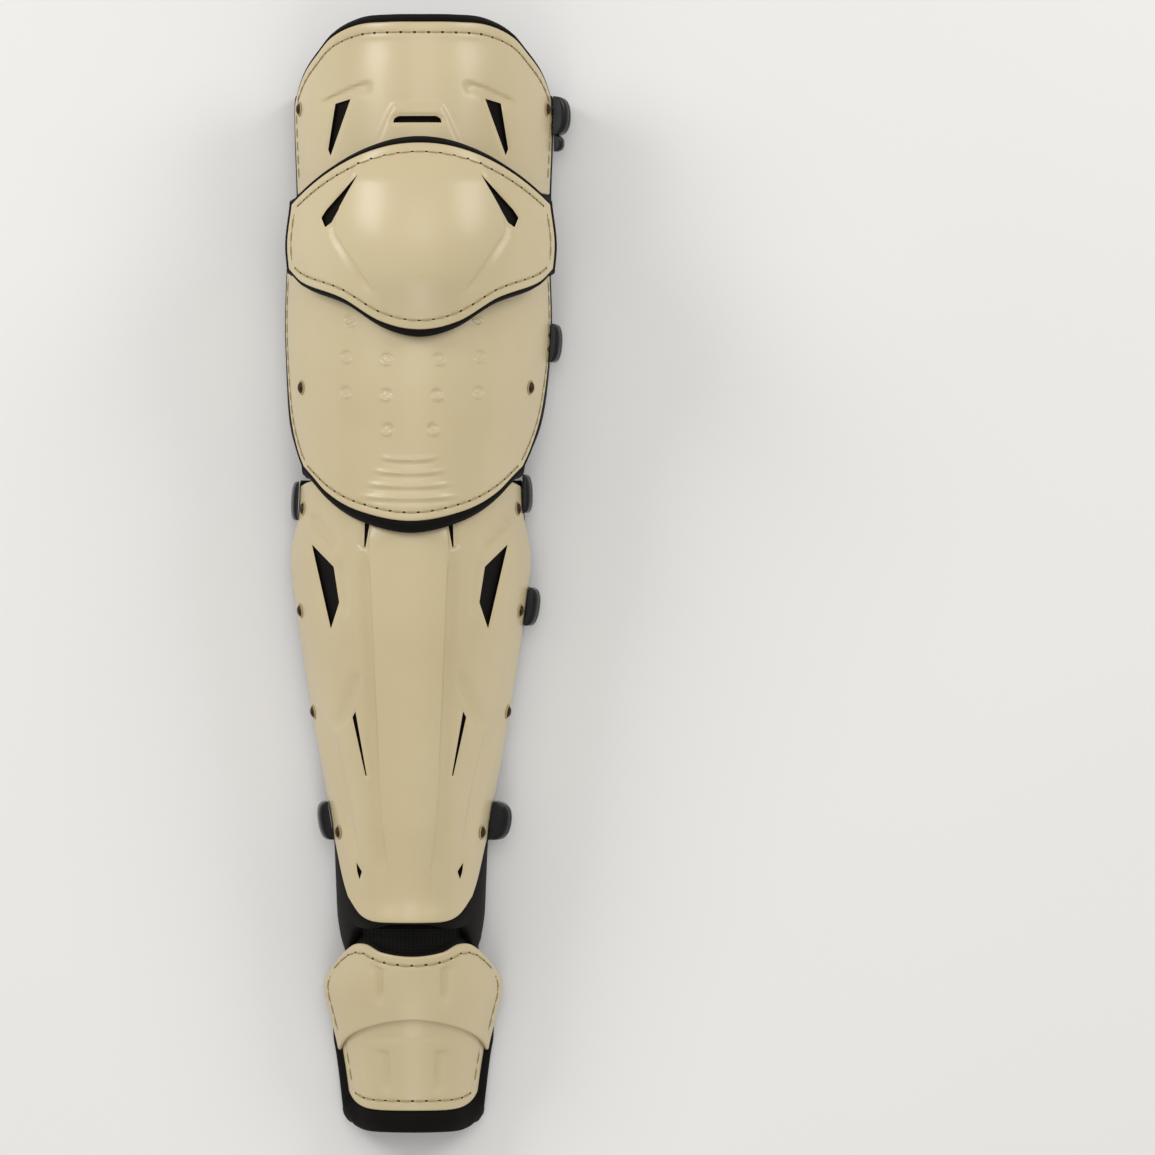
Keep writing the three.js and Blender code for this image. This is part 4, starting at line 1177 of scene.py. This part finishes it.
class LEGGUARD_OT_shells(bpy.types.Operator):
    """Moulds the six shells with their relief and vents"""

    bl_idname = "leg_guard.shells"
    bl_label = "Shells"

    def execute(self, context):
        settings = context.scene.leg_guard_shell
        material = shell_material(settings.gloss, settings.peel)
        for name in SHELLS:
            build_shell(name, material)
        return {"FINISHED"}


class LEGGUARD_OT_pads(bpy.types.Operator):
    """Sews the five foam pads and the knit neck of the ankle"""

    bl_idname = "leg_guard.pads"
    bl_label = "Pads and neck"

    def execute(self, context):
        material = foam_material()
        for node, settings in PADS.items():
            settings = dict(settings, swell=settings["swell"] * context.scene.leg_guard_soft.swell)
            build_pad(node, material=material, **settings)
        build_neck(knit_material())
        return {"FINISHED"}


class LEGGUARD_OT_straps(bpy.types.Operator):
    """Lays the five bands behind the guard and clips on their hooks and keepers"""

    bl_idname = "leg_guard.straps"
    bl_label = "Straps and hooks"

    def execute(self, context):
        webbing, plastic = webbing_material(), plastic_material()
        for row in STRAPS:
            name, form, at = row["name"], row["form"], row["at"]
            build_strap(name, form, at, webbing)
            y = form.top - at * form.length
            angle = float(form.edge(np.array([y]))[0]) + HOOK_HANG / form.half
            build_clip(name + "_hook", form, y + row.get("up", 0), angle, row["hook"], plastic,
                       row.get("lug", False))
            if row["keeper"]:
                build_clip(name + "_keeper", form, y, -angle, row["keeper"], plastic)
        return {"FINISHED"}


class LEGGUARD_OT_rivets(bpy.types.Operator):
    """Sets the twelve rivets on their washers"""

    bl_idname = "leg_guard.rivets"
    bl_label = "Rivets"

    def execute(self, context):
        dome, washer = rivet_material(), tan_material()
        for row in RIVETS:
            for side, label in ((-1, "left"), (1, "right")):
                build_rivet(f"{row['name']}_rivet_{label}", row["shell"], row["at"], row["turn"], side,
                            dome, washer)
        return {"FINISHED"}


class LEGGUARD_OT_stitches(bpy.types.Operator):
    """Sews the rows of stitches along the edges of the shells"""

    bl_idname = "leg_guard.stitches"
    bl_label = "Stitches"

    def execute(self, context):
        settings = context.scene.leg_guard_soft
        thread, shade_in_holes = tan_material(), painted_hole_shade_material()
        for name, shell in SHELLS.items():
            if shell["stitched"]:
                build_stitches(name, settings.pitch, settings.thread, settings.hole, thread, shade_in_holes)
        return {"FINISHED"}


class LEGGUARD_PT_panel(bpy.types.Panel):
    """The settings and steps of the leg guard"""

    bl_idname = "LEGGUARD_PT_panel"
    bl_label = "Catcher Leg Guard"
    bl_space_type = "VIEW_3D"
    bl_region_type = "UI"
    bl_category = "Leg Guard"

    def draw(self, context):
        for group, steps in GROUPS:
            box = self.layout.box()
            settings = getattr(context.scene, group)
            for name in settings.bl_rna.properties.keys():
                if name not in ("rna_type", "name"):
                    box.prop(settings, name)
            for step in steps:
                box.operator(step.bl_idname)


GROUPS = (
    ("leg_guard_stage", (LEGGUARD_OT_stage,)),
    ("leg_guard_shell", (LEGGUARD_OT_shells, LEGGUARD_OT_rivets)),
    ("leg_guard_soft", (LEGGUARD_OT_pads, LEGGUARD_OT_straps, LEGGUARD_OT_stitches)),
)
SETTINGS = (("leg_guard_stage", LegGuardStage), ("leg_guard_shell", LegGuardShell),
            ("leg_guard_soft", LegGuardSoft))
CLASSES = (LegGuardStage, LegGuardShell, LegGuardSoft, LEGGUARD_OT_stage, LEGGUARD_OT_shells,
           LEGGUARD_OT_pads, LEGGUARD_OT_straps, LEGGUARD_OT_rivets, LEGGUARD_OT_stitches, LEGGUARD_PT_panel)


def register():
    for item in CLASSES:
        bpy.utils.register_class(item)
    for name, group in SETTINGS:
        setattr(bpy.types.Scene, name, bpy.props.PointerProperty(type=group))


def unregister():
    for name, _ in SETTINGS:
        delattr(bpy.types.Scene, name)
    for item in reversed(CLASSES):
        bpy.utils.unregister_class(item)


def main():
    """Builds the whole guard in order."""
    register()
    bpy.ops.leg_guard.stage()
    bpy.ops.leg_guard.shells()
    bpy.ops.leg_guard.pads()
    bpy.ops.leg_guard.straps()
    bpy.ops.leg_guard.rivets()
    bpy.ops.leg_guard.stitches()
    bpy.context.view_layer.update()


if __name__ == "__main__":
    main()
